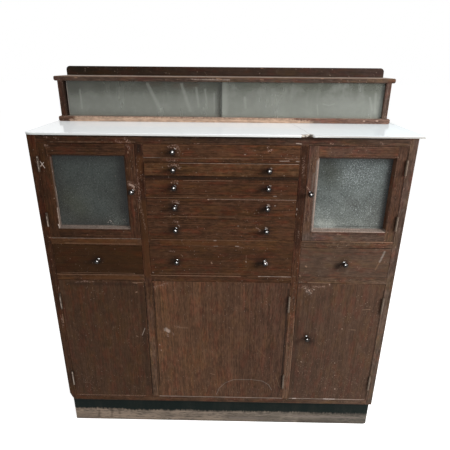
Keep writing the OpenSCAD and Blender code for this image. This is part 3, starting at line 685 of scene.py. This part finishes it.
        "wear": 2,
        "grimeAndShade": [(-158, 1004, -152, 1002, 28, 14), (140, 1003, 148, 1005, 26, 14)],
        "chips": [(-156, 1023, -142, 1026, 11, 7)],
        "ash": [(-142, 1021, -139, 1019, 3, 3), (154, 1017, 157, 1015, 4, 3)],
        "pale": [(-121, 1030.5, 36, 1030.5, 1.2, 1)]},
    "drawer_4_front": {
        "colour": (0.0567, 0.0253, 0.013), "grain": "across", "shift": (0, 0, 8.9), "wear": 2,
        "grimeAndShade": [(-158, 937, -152, 935, 30, 14), (140, 936, 148, 938, 26, 14)],
        "chips": [(-158, 958, -140, 960, 10, 8)],
        "ash": [(-144, 955, -138, 953, 3.4, 3), (173, 949, 176, 949, 3, 2), (152, 952, 156, 948, 6, 4)],
        "bare": [(-43, 968.6, 242, 968.6, 0.9, 1.0), (-43, 968, -40, 967, 3, 2)]},
    "drawer_5_front": {
        "colour": (0.062, 0.0277, 0.0139), "grain": "across", "shift": (0, 0, 2.9), "wear": 2,
        "grimeAndShade": [(-158, 858, -152, 856, 30, 14), (140, 857, 148, 859, 28, 14)],
        "ash": [(55, 877, 58, 877, 2.6, 2), (-142, 877, -138, 874, 3, 3), (148, 872, 152, 868, 6, 4)],
        "chips": [(-153, 892, -145, 888, 9, 6), (118, 871, 130, 861, 7, 4)]},
    "drawer_6_front": {
        "colour": (0.0569, 0.0253, 0.0123), "contrast": (0.64, 1.42), "grain": "across", "shift": (0, 0, 7.3),
        "wear": 2,
        "grimeAndShade": [(-160, 741, -152, 739, 32, 16), (132, 740, 144, 742, 32, 14)],
        "chips": [(-174, 783, -158, 781, 6, 4), (60, 797, 78, 799, 6, 4)],
        "ash": [(85, 746, 87, 744, 2.6, 2), (-238, 699, -234, 698, 3, 2)],
        "faint": [(86, 770, 86, 742, 2, 1), (-213, 697, 66, 697, 2, 1), (-136, 768, -132, 764, 4, 3)],
        "pale": [(-33, 741, -31, 737, 5, 3)]},
    "drawer_left_front": {
        "colour": (0.0375, 0.016, 0.006), "contrast": (0.82, 1.22), "tinted": 0.7, "grain": "across",
        "shift": (0, 0, 4.6), "wear": 2,
        "grimeAndShade": [(-434, 738, -424, 742, 30, 16)],
        "faint": [(-560, 694, -300, 694, 2, 1)]},
    "drawer_right_front": {
        # greyer and paler than its left-hand twin: painted sheen of the key lamp
        "colour": (0.0788, 0.0469, 0.0315), "contrast": (0.72, 1.3), "tinted": 0.8, "specks": 0.06,
        "grain": "across", "shift": (0, 0, 9.9), "wear": 2,
        "bloom": [(552, 791, 541, 752, 6, 4)],
        "faint": [(542, 756, 530, 722, 5, 4)],
        "pale": [(290, 732, 294, 730, 5, 3), (273, 694, 276, 692, 5, 3)],
        "grimeAndShade": [(406, 737, 418, 742, 30, 16)]},
}

boardEdges = 0.0009  # how far the sharp edges are taken off, in metres
wornCorners = {  # planes that round a foot at its front: x, z and y in millimetres, and the way they face
    "side_left": [((-600, 152, 0), (-0.94, -0.20, -0.34)), ((-594, 132, 0), (-0.70, -0.25, -0.70))],
    "plinth": [((588, 0, 16), (0.42, -0.15, -0.90)), ((594.5, 0, 16), (0.80, -0.20, -0.57))],
}


def wearCorner(shape, node):
    for (x, z, y), facing in wornCorners.get(node, ()):
        cut = bmesh.ops.bisect_plane(shape, geom=shape.verts[:] + shape.edges[:] + shape.faces[:],
                                     plane_co=spot(x, z, y), plane_no=facing, clear_outer=True)
        edgeShadow = [part for part in cut["geom_cut"] if isinstance(part, bmesh.types.BMEdge)]
        bmesh.ops.holes_fill(shape, edges=edgeShadow, sides=0)
    bmesh.ops.recalc_face_normals(shape, faces=shape.faces)


def makeOakBoards(looks, edges):
    for node, look in looks.items():
        shape = mergedCopy(node)
        boards = boardsOf(shape)
        wearCorner(shape, node)
        soften(shape, edges)
        finishPiece(shape, "oak_" + node, oakMaterial("oak_" + node, look, boards, frontOf(node)), [node])


makeOakBoards(oakBoards, boardEdges)
print("oak boards softened")


# Gallery boards

galleryBoards = {
    "gallery_base": {
        "colour": (0.118, 0.066, 0.046), "grain": "across", "shift": (0, 0, 3.9), "wear": 2, "rough": 0.6,
        "dust": 1195,
        # darker on the left, paler and greyer to the right: painted falloff and sheen of the key lamp
        "drift": [("X", -600, 600, (0.75, 0.7, 0.7), (1.25, 1.3, 1.4))],
        "raw": [(-530, 1183, 250, 1182, 22, 22), (-556, 1180, 250, 1180, 8, 22), (250, 1181, 318, 1179, 13, 26)],
        "chalk": [(320, 1182, 350, 1180, 12, 16)],
        "bare": [(505, 1187, 510, 1187, 4, 3), (551, 1188, 557, 1188, 4, 3)]},
    "gallery_shelf": {
        "colour": (0.064, 0.04, 0.03), "specks": 0.12, "grain": "across", "shift": (0, 0, 8.1), "wear": 2,
        "dust": 1332,
        "pale": [(-523, 1327, -516, 1327, 4, 4), (-24, 1328, -6, 1324, 4, 3), (128, 1325, 140, 1324, 3, 3),
            (340, 1330, 350, 1330, 3, 3)],
        "ash": [(-110, 1324, 20, 1323, 3, 9)],
        "faint": [(-600, 1331, 600, 1331, 3, 2)]},
    "gallery_upstand": {
        "colour": (0.045, 0.027, 0.019), "contrast": (0.8, 1.25), "grain": "across", "shift": (0, 0, 1.9),
        "wear": 2,
        # darker on the left, paler in the middle and to the right: painted falloff and sheen of the lamps
        "drift": [("X", -500, 0, (0.5, 0.53, 0.46), (0.92, 0.93, 0.95)),
                  ("X", 0, 600, (1, 1, 1), (1.06, 1.04, 1.12))],
        "pale": [(137, 1361, 145, 1361, 3, 2)]},
}
galleryEdges = 0.0012  # metres


makeOakBoards(galleryBoards, galleryEdges)
print("gallery boards made")


# Plinth: black paint worn off along the foot

plinth = {
    "paint": (0.0042, 0.0092, 0.0078), "bareWood": (0.36, 0.28, 0.215), "darkWood": (0.15, 0.122, 0.098),
    "drift": ("X", -600, 600, (1.05, 1.02, 1.0), (0.58, 0.65, 0.70)),
    "line": 56.0, "ragged": 16.0, "drips": 22.0,  # height of the paint's lower edge, how much it wanders and drips
    "specular": 0.05, "bump": 0.4, "bumpDepth": 0.0005, "edges": 0.001,
    "marks": {
        "bloom": [(300, 35, 560, 33, 9, 10), (40, 20, 175, 20, 8, 10)],
        # the three short upright marks of this kind are drips of the black paint; the long ones darken the foot
        "shade": [(330, 6, 590, 6, 26, 12), (300, 48, 590, 50, 14, 12), (-590, 2, 300, 2, 6, 4),
            (-498, 46, -503, 14, 8, 4), (-445, 46, -450, 10, 8, 4), (-414, 52, -416, 32, 9, 5)]},
}


def plinthMaterial():
    material, tree, place, shader = startMaterial("plinth")
    long = addNoise(tree, place, 9, 3.0, 0.6)
    short = addNoise(tree, place, (120, 120, 60), 4.0, 0.65)
    wander = calc(tree, "ADD", calc(tree, "SUBTRACT", long, 0.5), swing(tree, short, 0.6))
    line = calc(tree, "ADD", scaled(tree, wander, plinth["ragged"] / 1000), plinth["line"] / 1000)
    drips = addNoise(tree, place, (150, 150, 18), 4.0, 0.7)
    line = calc(tree, "ADD", line, swing(tree, drips, -plinth["drips"] / 1000))
    painted = spread(tree, calc(tree, "SUBTRACT", partOf(tree, place, "Z"), line), -0.007, 0.004)
    laid = addNode(tree, "Mapping", {"Vector": place, "Rotation": along["across"]}).outputs[0]
    grain = useGroup(tree, oakGrain, {"Vector": laid})
    wood = addRamp(tree, grain["Tone"], [(0.15, plinth["darkWood"]), (0.6, plinth["bareWood"])])
    stains = spread(tree, addNoise(tree, place, (7, 7, 30), 3.0), 0.45, 0.66)
    wood = mixColour(tree, scaled(tree, stains, 0.5), wood, plinth["darkWood"])
    wood = driftOver(tree, place, wood, plinth["drift"])
    wood = addMarks(tree, place, wood, plinth["marks"], frontOf("plinth"))[0]
    smears = useGroup(tree, dust, {"Vector": place})["Smears"]
    paint = mixColour(tree, scaled(tree, smears, 0.06), plinth["paint"], plinth["darkWood"])
    height = calc(tree, "ADD", painted, grain["Height"])
    setInputs(tree, shader, {
        "Base Color": mixColour(tree, painted, wood, paint), "Roughness": spread(tree, painted, 0.0, 1.0, 0.8, 0.45),
        "Specular IOR Level": plinth["specular"], "Normal": addBump(tree, height, plinth["bump"], plinth["bumpDepth"]),
    })
    return material


def makePlinth():
    shape = mergedCopy("plinth")
    wearCorner(shape, "plinth")
    soften(shape, plinth["edges"])
    finishPiece(shape, "worn_plinth", plinthMaterial(), ["plinth"])
    print("plinth made")


makePlinth()


# Boards and boxes inside

innerOak = (0.30, 0.19, 0.115)
plainGrain = {"contrast": (0.78, 1.24), "tinted": 0.3, "specks": 0.02, "scuffs": 0.1, "rough": 0.6}
innerBoards = {
    "deep": {"nodes": ["bottom_board", "sub_top", "drawer_carriers", "door_stops"], "grain": "across",
             "colour": times(innerOak, 0.45), **plainGrain},
    "box": {"nodes": [node for node in frame["nodes"] if node.endswith("_box")], "grain": "deep",
            "colour": times(innerOak, 0.9), **plainGrain},
    "back": {"nodes": ["back_panel", "gallery_back"], "grain": "up", "shift": (5.5, 0, 0),
             "colour": times(innerOak, 0.6), **plainGrain},
}


def coverInnerBoards():
    for name, look in innerBoards.items():
        material = oakMaterial("inner_" + name, look)
        for node in look["nodes"]:
            coverNode(node, material)
    print("inner boards covered")


coverInnerBoards()


# Hinges in tarnished brass

hinge = {
    "metal": (0.085, 0.058, 0.040), "tarnish": (0.042, 0.027, 0.018), "bright": (0.45, 0.36, 0.30),
    "greyed": (0.17, 0.125, 0.092), "spots": 260.0, "metallic": 0.3, "specular": 0.2,
    "left": -400, "inner": -200,  # x in millimetres: worn bright with a painted highlight up to the first, hardly from the second on
    "ridge": -7.2,  # the knuckles are worn bright, with a painted highlight, in front of this depth
}


def coverHinges():
    material, tree, place, shader = startMaterial("hinge_brass")
    cloud = addNoise(tree, place, hinge["spots"], 4.0, 0.65)
    colour = mixColour(tree, spread(tree, cloud, 0.36, 0.62), hinge["metal"], hinge["tarnish"])
    where = addNode(tree, "SeparateXYZ", {0: place}).outputs
    left, inner, middle = [spot(x, 0).x for x in (hinge["left"], hinge["inner"], 0)]
    colour = mixColour(tree, spread(tree, where["X"], left, middle, 0.0, 0.6), colour, hinge["greyed"])
    front = spot(0, 0, hinge["ridge"]).y
    ridge = spread(tree, where["Y"], front + 0.0004, front - 0.0004)
    side = spread(tree, where["X"], left, inner, 1.0, 0.12)
    rubsAndHighlight = spread(tree, addNoise(tree, place, (60, 60, 38), 3.0, 0.6), 0.42, 0.56)
    colour = mixColour(tree, scaled(tree, scaled(tree, ridge, side), rubsAndHighlight), colour, hinge["bright"])
    setInputs(tree, shader, {
        "Base Color": colour, "Roughness": spread(tree, cloud, 0.3, 0.7, 0.4, 0.7),
        "Metallic": hinge["metallic"], "Specular IOR Level": hinge["specular"],
    })
    for node in frame["nodes"]:
        if node.endswith("_hinges") or node == "hinge_leaves":
            coverNode(node, material)
    print("hinges covered")


coverHinges()


# Turned knobs, lacquered black

knob = {
    "colour": (0.012, 0.007, 0.005), "worn": (0.04, 0.026, 0.018), "rubbedAndLit": (0.30, 0.25, 0.235), "specular": 0.16,
    "ball": 17.0, "steps": 32,  # thickness of the CAD model's ball in millimetres, and steps round the turned one
    "profile": [  # distance from the face and radius, in millimetres
        (0.0, 0.0), (0.0, 6.6), (0.5, 7.0), (1.1, 6.8), (1.9, 5.4), (2.6, 4.2), (3.6, 3.5), (5.2, 3.3), (6.6, 3.5),
        (7.4, 3.8), (8.0, 5.2), (9.1, 6.8), (10.7, 8.1), (12.8, 8.9), (15.0, 9.2), (17.2, 8.9), (19.2, 8.0),
        (21.0, 6.6), (22.4, 4.6), (23.2, 2.4), (23.5, 0.0)],
}


def knobMaterial():
    material, tree, place, shader = startMaterial("knob_black")
    cloud = addNoise(tree, place, 380, 3.0, 0.6)
    colour = mixColour(tree, scaled(tree, spread(tree, cloud, 0.58, 0.74), 0.6), knob["colour"], knob["worn"])
    rubbedAndLit = addStroke(tree, place, (150, 754, -19), (157, 742, -15), 9, 3, 3)  # on the last drawer's right knob: worn lacquer with a painted highlight on its lit side
    colour = mixColour(tree, scaled(tree, rubbedAndLit, 0.85), colour, knob["rubbedAndLit"])
    setInputs(tree, shader, {
        "Base Color": colour, "Roughness": spread(tree, cloud, 0.35, 0.75, 0.18, 0.23),
        "Specular IOR Level": knob["specular"],
    })
    return material


def turnKnob(shape, x, y, z):
    verts = [shape.verts.new((x + radius / 1000, y - out / 1000, z)) for out, radius in knob["profile"]]
    edges = [shape.edges.new(pair) for pair in zip(verts, verts[1:])]
    bmesh.ops.spin(shape, geom=verts + edges, cent=(x, y, z), axis=(0, 1, 0), angle=math.tau, steps=knob["steps"],
                   use_merge=True)


def makeKnobs():
    material = knobMaterial()
    made = []
    for node in frame["nodes"]:
        if node.endswith("_knobs") or node.endswith("_knob"):
            low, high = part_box(node)
            shape = bmesh.new()
            inset = knob["ball"] / 2000
            for x in sorted({round(low.x + inset, 5), round(high.x - inset, 5)}):
                turnKnob(shape, x, high.y, (low.z + high.z) / 2)
            bmesh.ops.remove_doubles(shape, verts=shape.verts, dist=weldDistance)
            bmesh.ops.recalc_face_normals(shape, faces=shape.faces)
            for face in shape.faces:
                face.smooth = True
            made.append(finishPiece(shape, "turned_" + node, material, [node]))
    print("knobs turned")
    return made


knobs = makeKnobs()


# Milk glass top with a chipped front edge and a crack

milkGlass = {
    "colour": (0.88, 0.90, 0.91), "stain": (0.78, 0.78, 0.76), "specks": (0.40, 0.37, 0.33),
    "edge": (0.78, 0.79, 0.77), "edgeRight": (0.47, 0.45, 0.42),
    "crackTone": (0.30, 0.30, 0.29), "chipTone": (0.50, 0.43, 0.35), "dirt": (0.09, 0.065, 0.045),
    # the drift darkens the right of the sheet: painted shade that tones down the key lamp's light there
    "drift": ("X", 250, 600, (1.02, 1.02, 1.02), (0.88, 0.94, 0.96)), "edgeDrift": (250, 420),
    "chip": {241: 0, 247: 6, 253: 8, 259: 9, 264: 12, 269: 17, 274: 16, 278: 7, 282: 0},  # x and depth, in millimetres
    "crack": [(242, 266), (251, 205), (257, 167), (260, 120), (266, 90), (267, 49), (273, 14)],
    "specular": 0.04, "edges": 0.0012, "frontRim": 0.002,  # points this near the front, in metres, follow the chip
}


def milkGlassMaterial(top):
    material, tree, place, shader = startMaterial("milk_glass")
    where = addNode(tree, "SeparateXYZ", {0: place}).outputs
    dusty = useGroup(tree, dust, {"Vector": place})
    colour = mixColour(tree, scaled(tree, dusty["Smears"], 0.12), milkGlass["colour"], milkGlass["stain"])
    colour = mixColour(tree, scaled(tree, dusty["Specks"], 0.12), colour, milkGlass["specks"])
    colour = driftOver(tree, place, colour, milkGlass["drift"])
    start, end = [spot(x, 0).x for x in milkGlass["edgeDrift"]]
    edge = mixColour(tree, spread(tree, where["X"], start, end), milkGlass["edge"], milkGlass["edgeRight"])
    colour = mixColour(tree, spread(tree, where["Z"], top - 0.0008, top - 0.0026), colour, edge)
    height = top * 1000
    line = milkGlass["crack"]
    crack = joined(tree, "MAXIMUM", [addStroke(tree, place, (x, height, y), (toX, height, toY), 2, 2, 1)
                                     for (x, y), (toX, toY) in zip(line, line[1:])])
    colour = mixColour(tree, scaled(tree, crack, 0.45), colour, milkGlass["crackTone"])
    chipped = addStroke(tree, place, (247, height - 4, 1), (276, height - 4, 9), 15, 6, 3)  # along the chip
    patches = spread(tree, addNoise(tree, place, 170), 0.45, 0.60)
    dirt = mixColour(tree, patches, milkGlass["chipTone"], milkGlass["dirt"])
    setInputs(tree, shader, {
        "Base Color": mixColour(tree, scaled(tree, chipped, 0.85), colour, dirt),
        "Roughness": spread(tree, dusty["Smears"], 0.0, 1.0, 0.08, 0.18), "Specular IOR Level": milkGlass["specular"],
    })
    return material


def chipDepth(x):  # how far the edge is broken away at x, both in metres
    known = sorted((spot(place, 0).x, depth / 1000) for place, depth in milkGlass["chip"].items())
    for (left, first), (right, second) in zip(known, known[1:]):
        if left <= x <= right:
            return first + (second - first) * (x - left) / (right - left)
    return 0.0


def makeMilkGlass():
    low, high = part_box("milk_glass_top")
    shape = mergedCopy("milk_glass_top")
    soften(shape, milkGlass["edges"], 3)
    for x in milkGlass["chip"]:
        bmesh.ops.bisect_plane(shape, geom=shape.verts[:] + shape.edges[:] + shape.faces[:],
                               plane_co=spot(x, 0), plane_no=(1, 0, 0))
    for vert in shape.verts:
        if vert.co.y < low.y + milkGlass["frontRim"]:
            vert.co.y += chipDepth(vert.co.x)
    finishPiece(shape, "milk_glass_sheet", milkGlassMaterial(high.z), ["milk_glass_top"])
    print("milk glass laid")


makeMilkGlass()


# Sliding panes, dusty, with painted shade under the shelf

pane = {
    "colour": (0.37, 0.39, 0.34), "dust": (0.48, 0.50, 0.45), "specks": (0.7, 0.7, 0.65),
    "grimeAndShade": (0.075, 0.08, 0.048), "grimeAndShadeHeights": (1.345, 1.222),  # the dirt and the painted shade under the shelf thin out between these heights, in metres
    "drift": ("X", -600, 600, (0.84, 0.83, 0.82), (1.0, 0.99, 1.0)),
    "clear": 0.55, "specular": 0.3, "edges": 0.0005,
    "marks": {  # the depth at the end tells the left pane from the right one
        "smearAndGlow": [(-272, 1306, -228, 1214, 12, 5, 279.5), (-228, 1216, -226, 1214, 6, 4, 279.5),
            (-67, 1290, -60, 1240, 5, 4, 279.5), (-517, 1284, -517, 1221, 6, 4, 279.5),
            (-34, 1276, -34, 1212, 4, 4, 279.5), (4, 1318, 4, 1194, 20, 2, 270.5),
            (-150, 1306, -122, 1216, 11, 4, 279.5), (-98, 1296, -90, 1230, 7, 4, 279.5),
            (521, 1266, 534, 1225, 7, 4, 270.5), (540, 1280, 545, 1215, 8, 5, 270.5),
            (357, 1244, 378, 1239, 4, 3, 270.5), (378, 1239, 396, 1245, 4, 3, 270.5),
            (336, 1240, 342, 1206, 4, 4, 270.5), (76, 1262, 80, 1228, 8, 6, 270.5)],
        "white": [(-563, 1314, -564, 1198, 2.6, 1.5, 279.5)],
        # the dark line by the left end is painted shadow in the gap; along the top the shade and olive marks are dirt
        # with painted shade under the shelf, and the upright strips near the middle are the right pane's painted
        # shadow
        "grimeAndShade": [(-565, 1314, -567, 1198, 4, 2, 279.5)],
        "shade": [(-21, 1318, -19, 1194, 17, 5, 279.5), (-550, 1316, -30, 1316, 56, 18, 279.5),
            (-540, 1290, -500, 1300, 36, 20, 279.5), (130, 1317, 330, 1317, 10, 12, 270.5)],
        "olive": [(-14, 1318, -14, 1194, 8, 2, 279.5), (-470, 1306, -400, 1308, 44, 10, 279.5),
            (-550, 1314, -30, 1314, 50, 16, 279.5), (120, 1312, 340, 1312, 34, 14, 270.5)],
        "orange": [(-270, 1312, -230, 1314, 24, 16, 279.5), (-170, 1306, -100, 1308, 24, 18, 279.5)],
        "film": [(-560, 1199, 560, 1199, 9, 4, 275)]},
}


def makePanes():
    material, tree, place, shader = startMaterial("pane_glass")
    clouds = addNoise(tree, place, (11, 11, 14), 4.0, 0.65)
    streaks = addNoise(tree, place, (26, 26, 6), 3.0, 0.6)
    height = calc(tree, "ADD", partOf(tree, place, "Z"), swing(tree, clouds, 0.07))
    # darker towards the top: dirt and painted shade under the shelf
    colour = mixColour(tree, spread(tree, height, *pane["grimeAndShadeHeights"]), pane["grimeAndShade"], pane["colour"])
    colour = mixColour(tree, scaled(tree, spread(tree, clouds, 0.42, 0.66), 0.5), colour, pane["dust"])
    colour = mixColour(tree, scaled(tree, spread(tree, streaks, 0.45, 0.70), 0.35), colour, pane["dust"])
    dots = useGroup(tree, dust, {"Vector": place})["Specks"]
    colour = mixColour(tree, scaled(tree, dots, 0.3), colour, pane["specks"])
    colour = driftOver(tree, place, colour, pane["drift"])
    setInputs(tree, shader, {
        "Base Color": addMarks(tree, place, colour, pane["marks"], 0)[0],
        "Roughness": spread(tree, streaks, 0.3, 0.7, 0.14, 0.28),
        "Transmission Weight": pane["clear"], "Specular IOR Level": pane["specular"],
    })
    for node in ("pane_left", "pane_right"):
        shape = mergedCopy(node)
        soften(shape, pane["edges"])
        finishPiece(shape, "glass_" + node, material, [node])
    print("panes set")


makePanes()


# Obscure glass of the two upper doors

obscureGlass = {  # glows are middle x and z and width in millimetres, and strength; shade is its top and foot
    "crackleTone": (0.25, 0.27, 0.26), "drift": ("Z", 1105, 870, (0.95, 1.02, 1.02), (1.04, 1.0, 0.95)),
    "clear": 0.35, "rough": 0.42, "specular": 0.2, "bump": 0.5, "bumpDepth": 0.0006, "edges": 0.0004,
    "left": {
        "colour": (0.029, 0.034, 0.03), "light": (0.094, 0.103, 0.09), "glintTone": (0.28, 0.3, 0.275), "shift": 0.0,
        "crackle": 0.6, "shade": (0.7, 0.98),
        "glows": [(-355, 885, 60, 0.7), (-320, 882, 50, 0.8), (-430, 1070, 60, 0.4), (-386, 1074, 80, 0.35),
                  (-440, 1000, 200, 0.3)],
        "marks": {
            # the line on the next line is painted highlight where the bead meets the glass
            "chalk": [(-536, 868, -306, 868, 5, 2)],
            # the dark line at the top is painted shadow of the rail
            "grimeAndShade": [(-540, 1106, -304, 1106, 8, 5)],
            # the two lighter patches on the next line are painted light
            "paintedLight": [(-450, 1062, -385, 1050, 90, 60), (-430, 960, -400, 940, 80, 60)],
            "shade": [(-530, 1040, -520, 920, 40, 30), (-480, 885, -380, 880, 30, 30),
                (-316, 1060, -320, 930, 40, 30), (-540, 1104, -304, 1104, 34, 16)],
            "olive": [(-500, 960, -470, 930, 60, 40)],
            "white": [(-372, 886, -368, 882, 3, 4), (-378, 880, -380, 878, 2.4, 3),
                (-326, 889, -322, 887, 2.4, 4)],
            "ash": [(-320, 880, -316, 878, 3, 4), (-365, 876, -362, 874, 3, 4), (-402, 960, -401, 958, 2.4, 3),
                (-447, 1050, -446, 1048, 2.4, 3), (-340, 1040, -339, 1038, 2.4, 3)]}},
    "right": {
        "colour": (0.088, 0.101, 0.096), "light": (0.245, 0.27, 0.26), "glintTone": (0.74, 0.8, 0.8), "shift": 4.0,
        "crackle": 0.55, "shade": (0.46, 1.44),
        "glows": [(440, 1060, 130, 1.0), (379, 1083, 50, 0.6), (520, 1075, 40, 0.8), (510, 1000, 60, 0.35),
                  (350, 905, 90, 0.3), (430, 980, 240, 0.3), (480, 1048, 16, 1.6), (410, 1056, 46, 1.3),
                  (446, 1064, 30, 1.3)],
        "marks": {
            # the wide mark at the right edge is painted shadow of the stile
            "grimeAndShade": [(306, 876, 538, 876, 2, 2), (538, 1104, 538, 868, 22, 8)],
            # the line on the next line is painted highlight where the bead meets the glass
            "bloom": [(304, 868, 540, 868, 6, 2)],
            "shade": [(318, 1096, 330, 1070, 60, 30), (500, 950, 520, 900, 60, 50), (470, 1100, 530, 1100, 20, 16),
                (420, 960, 440, 950, 30, 50)],
            "olive": [(330, 1085, 350, 1050, 70, 40)],
            # the light patch on the next line is painted light
            "smearAndGlow": [(330, 885, 360, 880, 26, 50)]}},
}


# glows are pools of painted light on the glass
def addGlows(tree, place, glows):
    masks = []
    for x, z, width, strength in glows:
        mask = addStroke(tree, place, (x, z, 13), (x, z + 1, 13), width, 30, width)
        masks.append(scaled(tree, mask, strength))
    return joined(tree, "MAXIMUM", masks)


def obscureMaterial(name, look, node):
    low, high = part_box(node)
    material, tree, place, shader = startMaterial(name)
    moved = vectorCalc(tree, "ADD", place, (look["shift"], 0, 0))
    mottle = spread(tree, addNoise(tree, moved, 190, 3.0, 0.75), 0.43, 0.59)
    clouds = spread(tree, addNoise(tree, moved, 17, 3.0, 0.6), 0.36, 0.66)
    cells = addNoise(tree, moved, 270, 2.0, 0.6)
    misty = calc(tree, "ADD", scaled(tree, clouds, 0.45), scaled(tree, mottle, 0.55))
    colour = mixColour(tree, misty, look["colour"], look["light"])
    glow = addGlows(tree, place, look["glows"])
    colour = mixColour(tree, scaled(tree, glow, 0.35), colour, look["light"])
    colour = driftOver(tree, place, colour, obscureGlass["drift"])
    colour = addMarks(tree, place, colour, look["marks"], frontOf(node))[0]
    dark = spread(tree, addNoise(tree, moved, 240, 3.0, 0.7), 0.50, 0.40)
    colour = mixColour(tree, scaled(tree, dark, look["crackle"]), colour, obscureGlass["crackleTone"], "MULTIPLY")
    # the bright specks below are painted glints, denser where the painted glows lie
    patches = spread(tree, addNoise(tree, moved, 38, 3.0), 0.42, 0.68)
    density = calc(tree, "ADD", glow, scaled(tree, patches, 0.3))
    floor = ranged(tree, density, 0.0, 1.0, 0.66, 0.52)
    bright = spread(tree, calc(tree, "SUBTRACT", cells, floor), -0.02, 0.12)
    colour = mixColour(tree, scaled(tree, bright, 0.8), colour, look["glintTone"])
    where = addNode(tree, "SeparateXYZ", {0: place}).outputs
    # painted shade and light: darker at the top and lighter at the foot, with painted shadow of the top rail and the
    # right stile along those edges
    shade = ranged(tree, where["Z"], high.z, low.z, *look["shade"])
    edgeShadow = scaled(tree, spread(tree, where["Z"], high.z, high.z - 0.035, 0.55, 1.0),
                 spread(tree, where["X"], high.x, high.x - 0.04, 0.12, 1.0))
    setInputs(tree, shader, {
        "Base Color": mixColour(tree, 1.0, colour, scaled(tree, shade, edgeShadow), "MULTIPLY"),
        "Roughness": obscureGlass["rough"], "Transmission Weight": obscureGlass["clear"],
        "Specular IOR Level": obscureGlass["specular"],
        "Normal": addBump(tree, cells, obscureGlass["bump"], obscureGlass["bumpDepth"]),
    })
    return material


def makeObscureGlass():
    for side in ("left", "right"):
        node = f"glazed_{side}_glass"
        shape = mergedCopy(node)
        soften(shape, obscureGlass["edges"])
        finishPiece(shape, "obscure_" + node, obscureMaterial("door_glass_" + side, obscureGlass[side], node), [node])
    print("obscure glass set")


makeObscureGlass()


# Floor, world and lamps

studio = {
    "floor": (0.80, 0.80, 0.80), "floorShade": (0.7, 0.7, 0.7), "floorSize": 30, "floorGlow": 0.70, "ambient": 0.36,
    "key": {"place": (1.98, -1.10, 1.62), "size": 0.75, "power": 54.0, "target": (0.15, -0.15, 0.80)},
    "top": {"place": (-0.45, -0.30, 3.40), "size": 2.2, "power": 35.0, "target": (0.0, 0.0, 1.1)},
    "front": {"place": (0.05, -1.60, 1.60), "size": 1.35, "power": 640.0, "target": (0.0, -0.2, 0.9)},  # for the knobs
}


def addLamp(name, things=()):  # with things given, the lamp lights only those
    look = studio[name]
    data = bpy.data.lights.new(name, "AREA")
    data.size = look["size"]
    data.energy = look["power"]
    lamp = bpy.data.objects.new(name, data)
    aim = Vector(look["target"]) - Vector(look["place"])
    lamp.matrix_world = Matrix.Translation(look["place"]) @ aim.to_track_quat("-Z", "Y").to_matrix().to_4x4()
    bpy.context.scene.collection.objects.link(lamp)
    if things:
        lamp.light_linking.receiver_collection = bpy.data.collections.new(name + "Lights")
        for thing in things:
            lamp.light_linking.receiver_collection.objects.link(thing)
        lamp.visible_diffuse = False


def seenRays(tree):  # 1 for rays that show the background
    path = addNode(tree, "LightPath").outputs
    return joined(tree, "MAXIMUM", [path[f"Is {kind} Ray"] for kind in ("Camera", "Glossy", "Transmission")])


def makeWorld():
    world = bpy.data.worlds.new("studio")
    bpy.context.scene.world = world
    world.use_nodes = True
    tree = world.node_tree
    tree.nodes.clear()
    plain, white = [addNode(tree, "Background", {"Color": (1, 1, 1, 1), "Strength": strength}).outputs[0]
                    for strength in (studio["ambient"], 1.0)]
    both = addNode(tree, "MixShader", {0: seenRays(tree), 1: plain, 2: white})
    tree.links.new(both.outputs[0], addNode(tree, "OutputWorld").inputs[0])


def makeFloor():
    material, tree, place, shader = startMaterial("floor")
    shade = scaled(tree, addNoise(tree, place, 3), 0.06)
    setInputs(tree, shader, {
        "Base Color": mixColour(tree, shade, studio["floor"], studio["floorShade"]),
        "Roughness": 0.9, "Specular IOR Level": 0.1, "Emission Color": (1, 1, 1, 1),
        "Emission Strength": scaled(tree, seenRays(tree), studio["floorGlow"]),
    })
    shape = bmesh.new()
    bmesh.ops.create_grid(shape, x_segments=1, y_segments=1, size=studio["floorSize"])
    data = bpy.data.meshes.new("floor")
    shape.to_mesh(data)
    shape.free()
    data.materials.append(material)
    floor = bpy.data.objects.new("floor", data)
    bpy.context.scene.collection.objects.link(floor)


def makeStudio():
    makeWorld()
    makeFloor()
    addLamp("key")
    addLamp("top")
    addLamp("front", knobs)
    bpy.context.scene.view_settings.view_transform = "Standard"
    print("studio lit")


makeStudio()
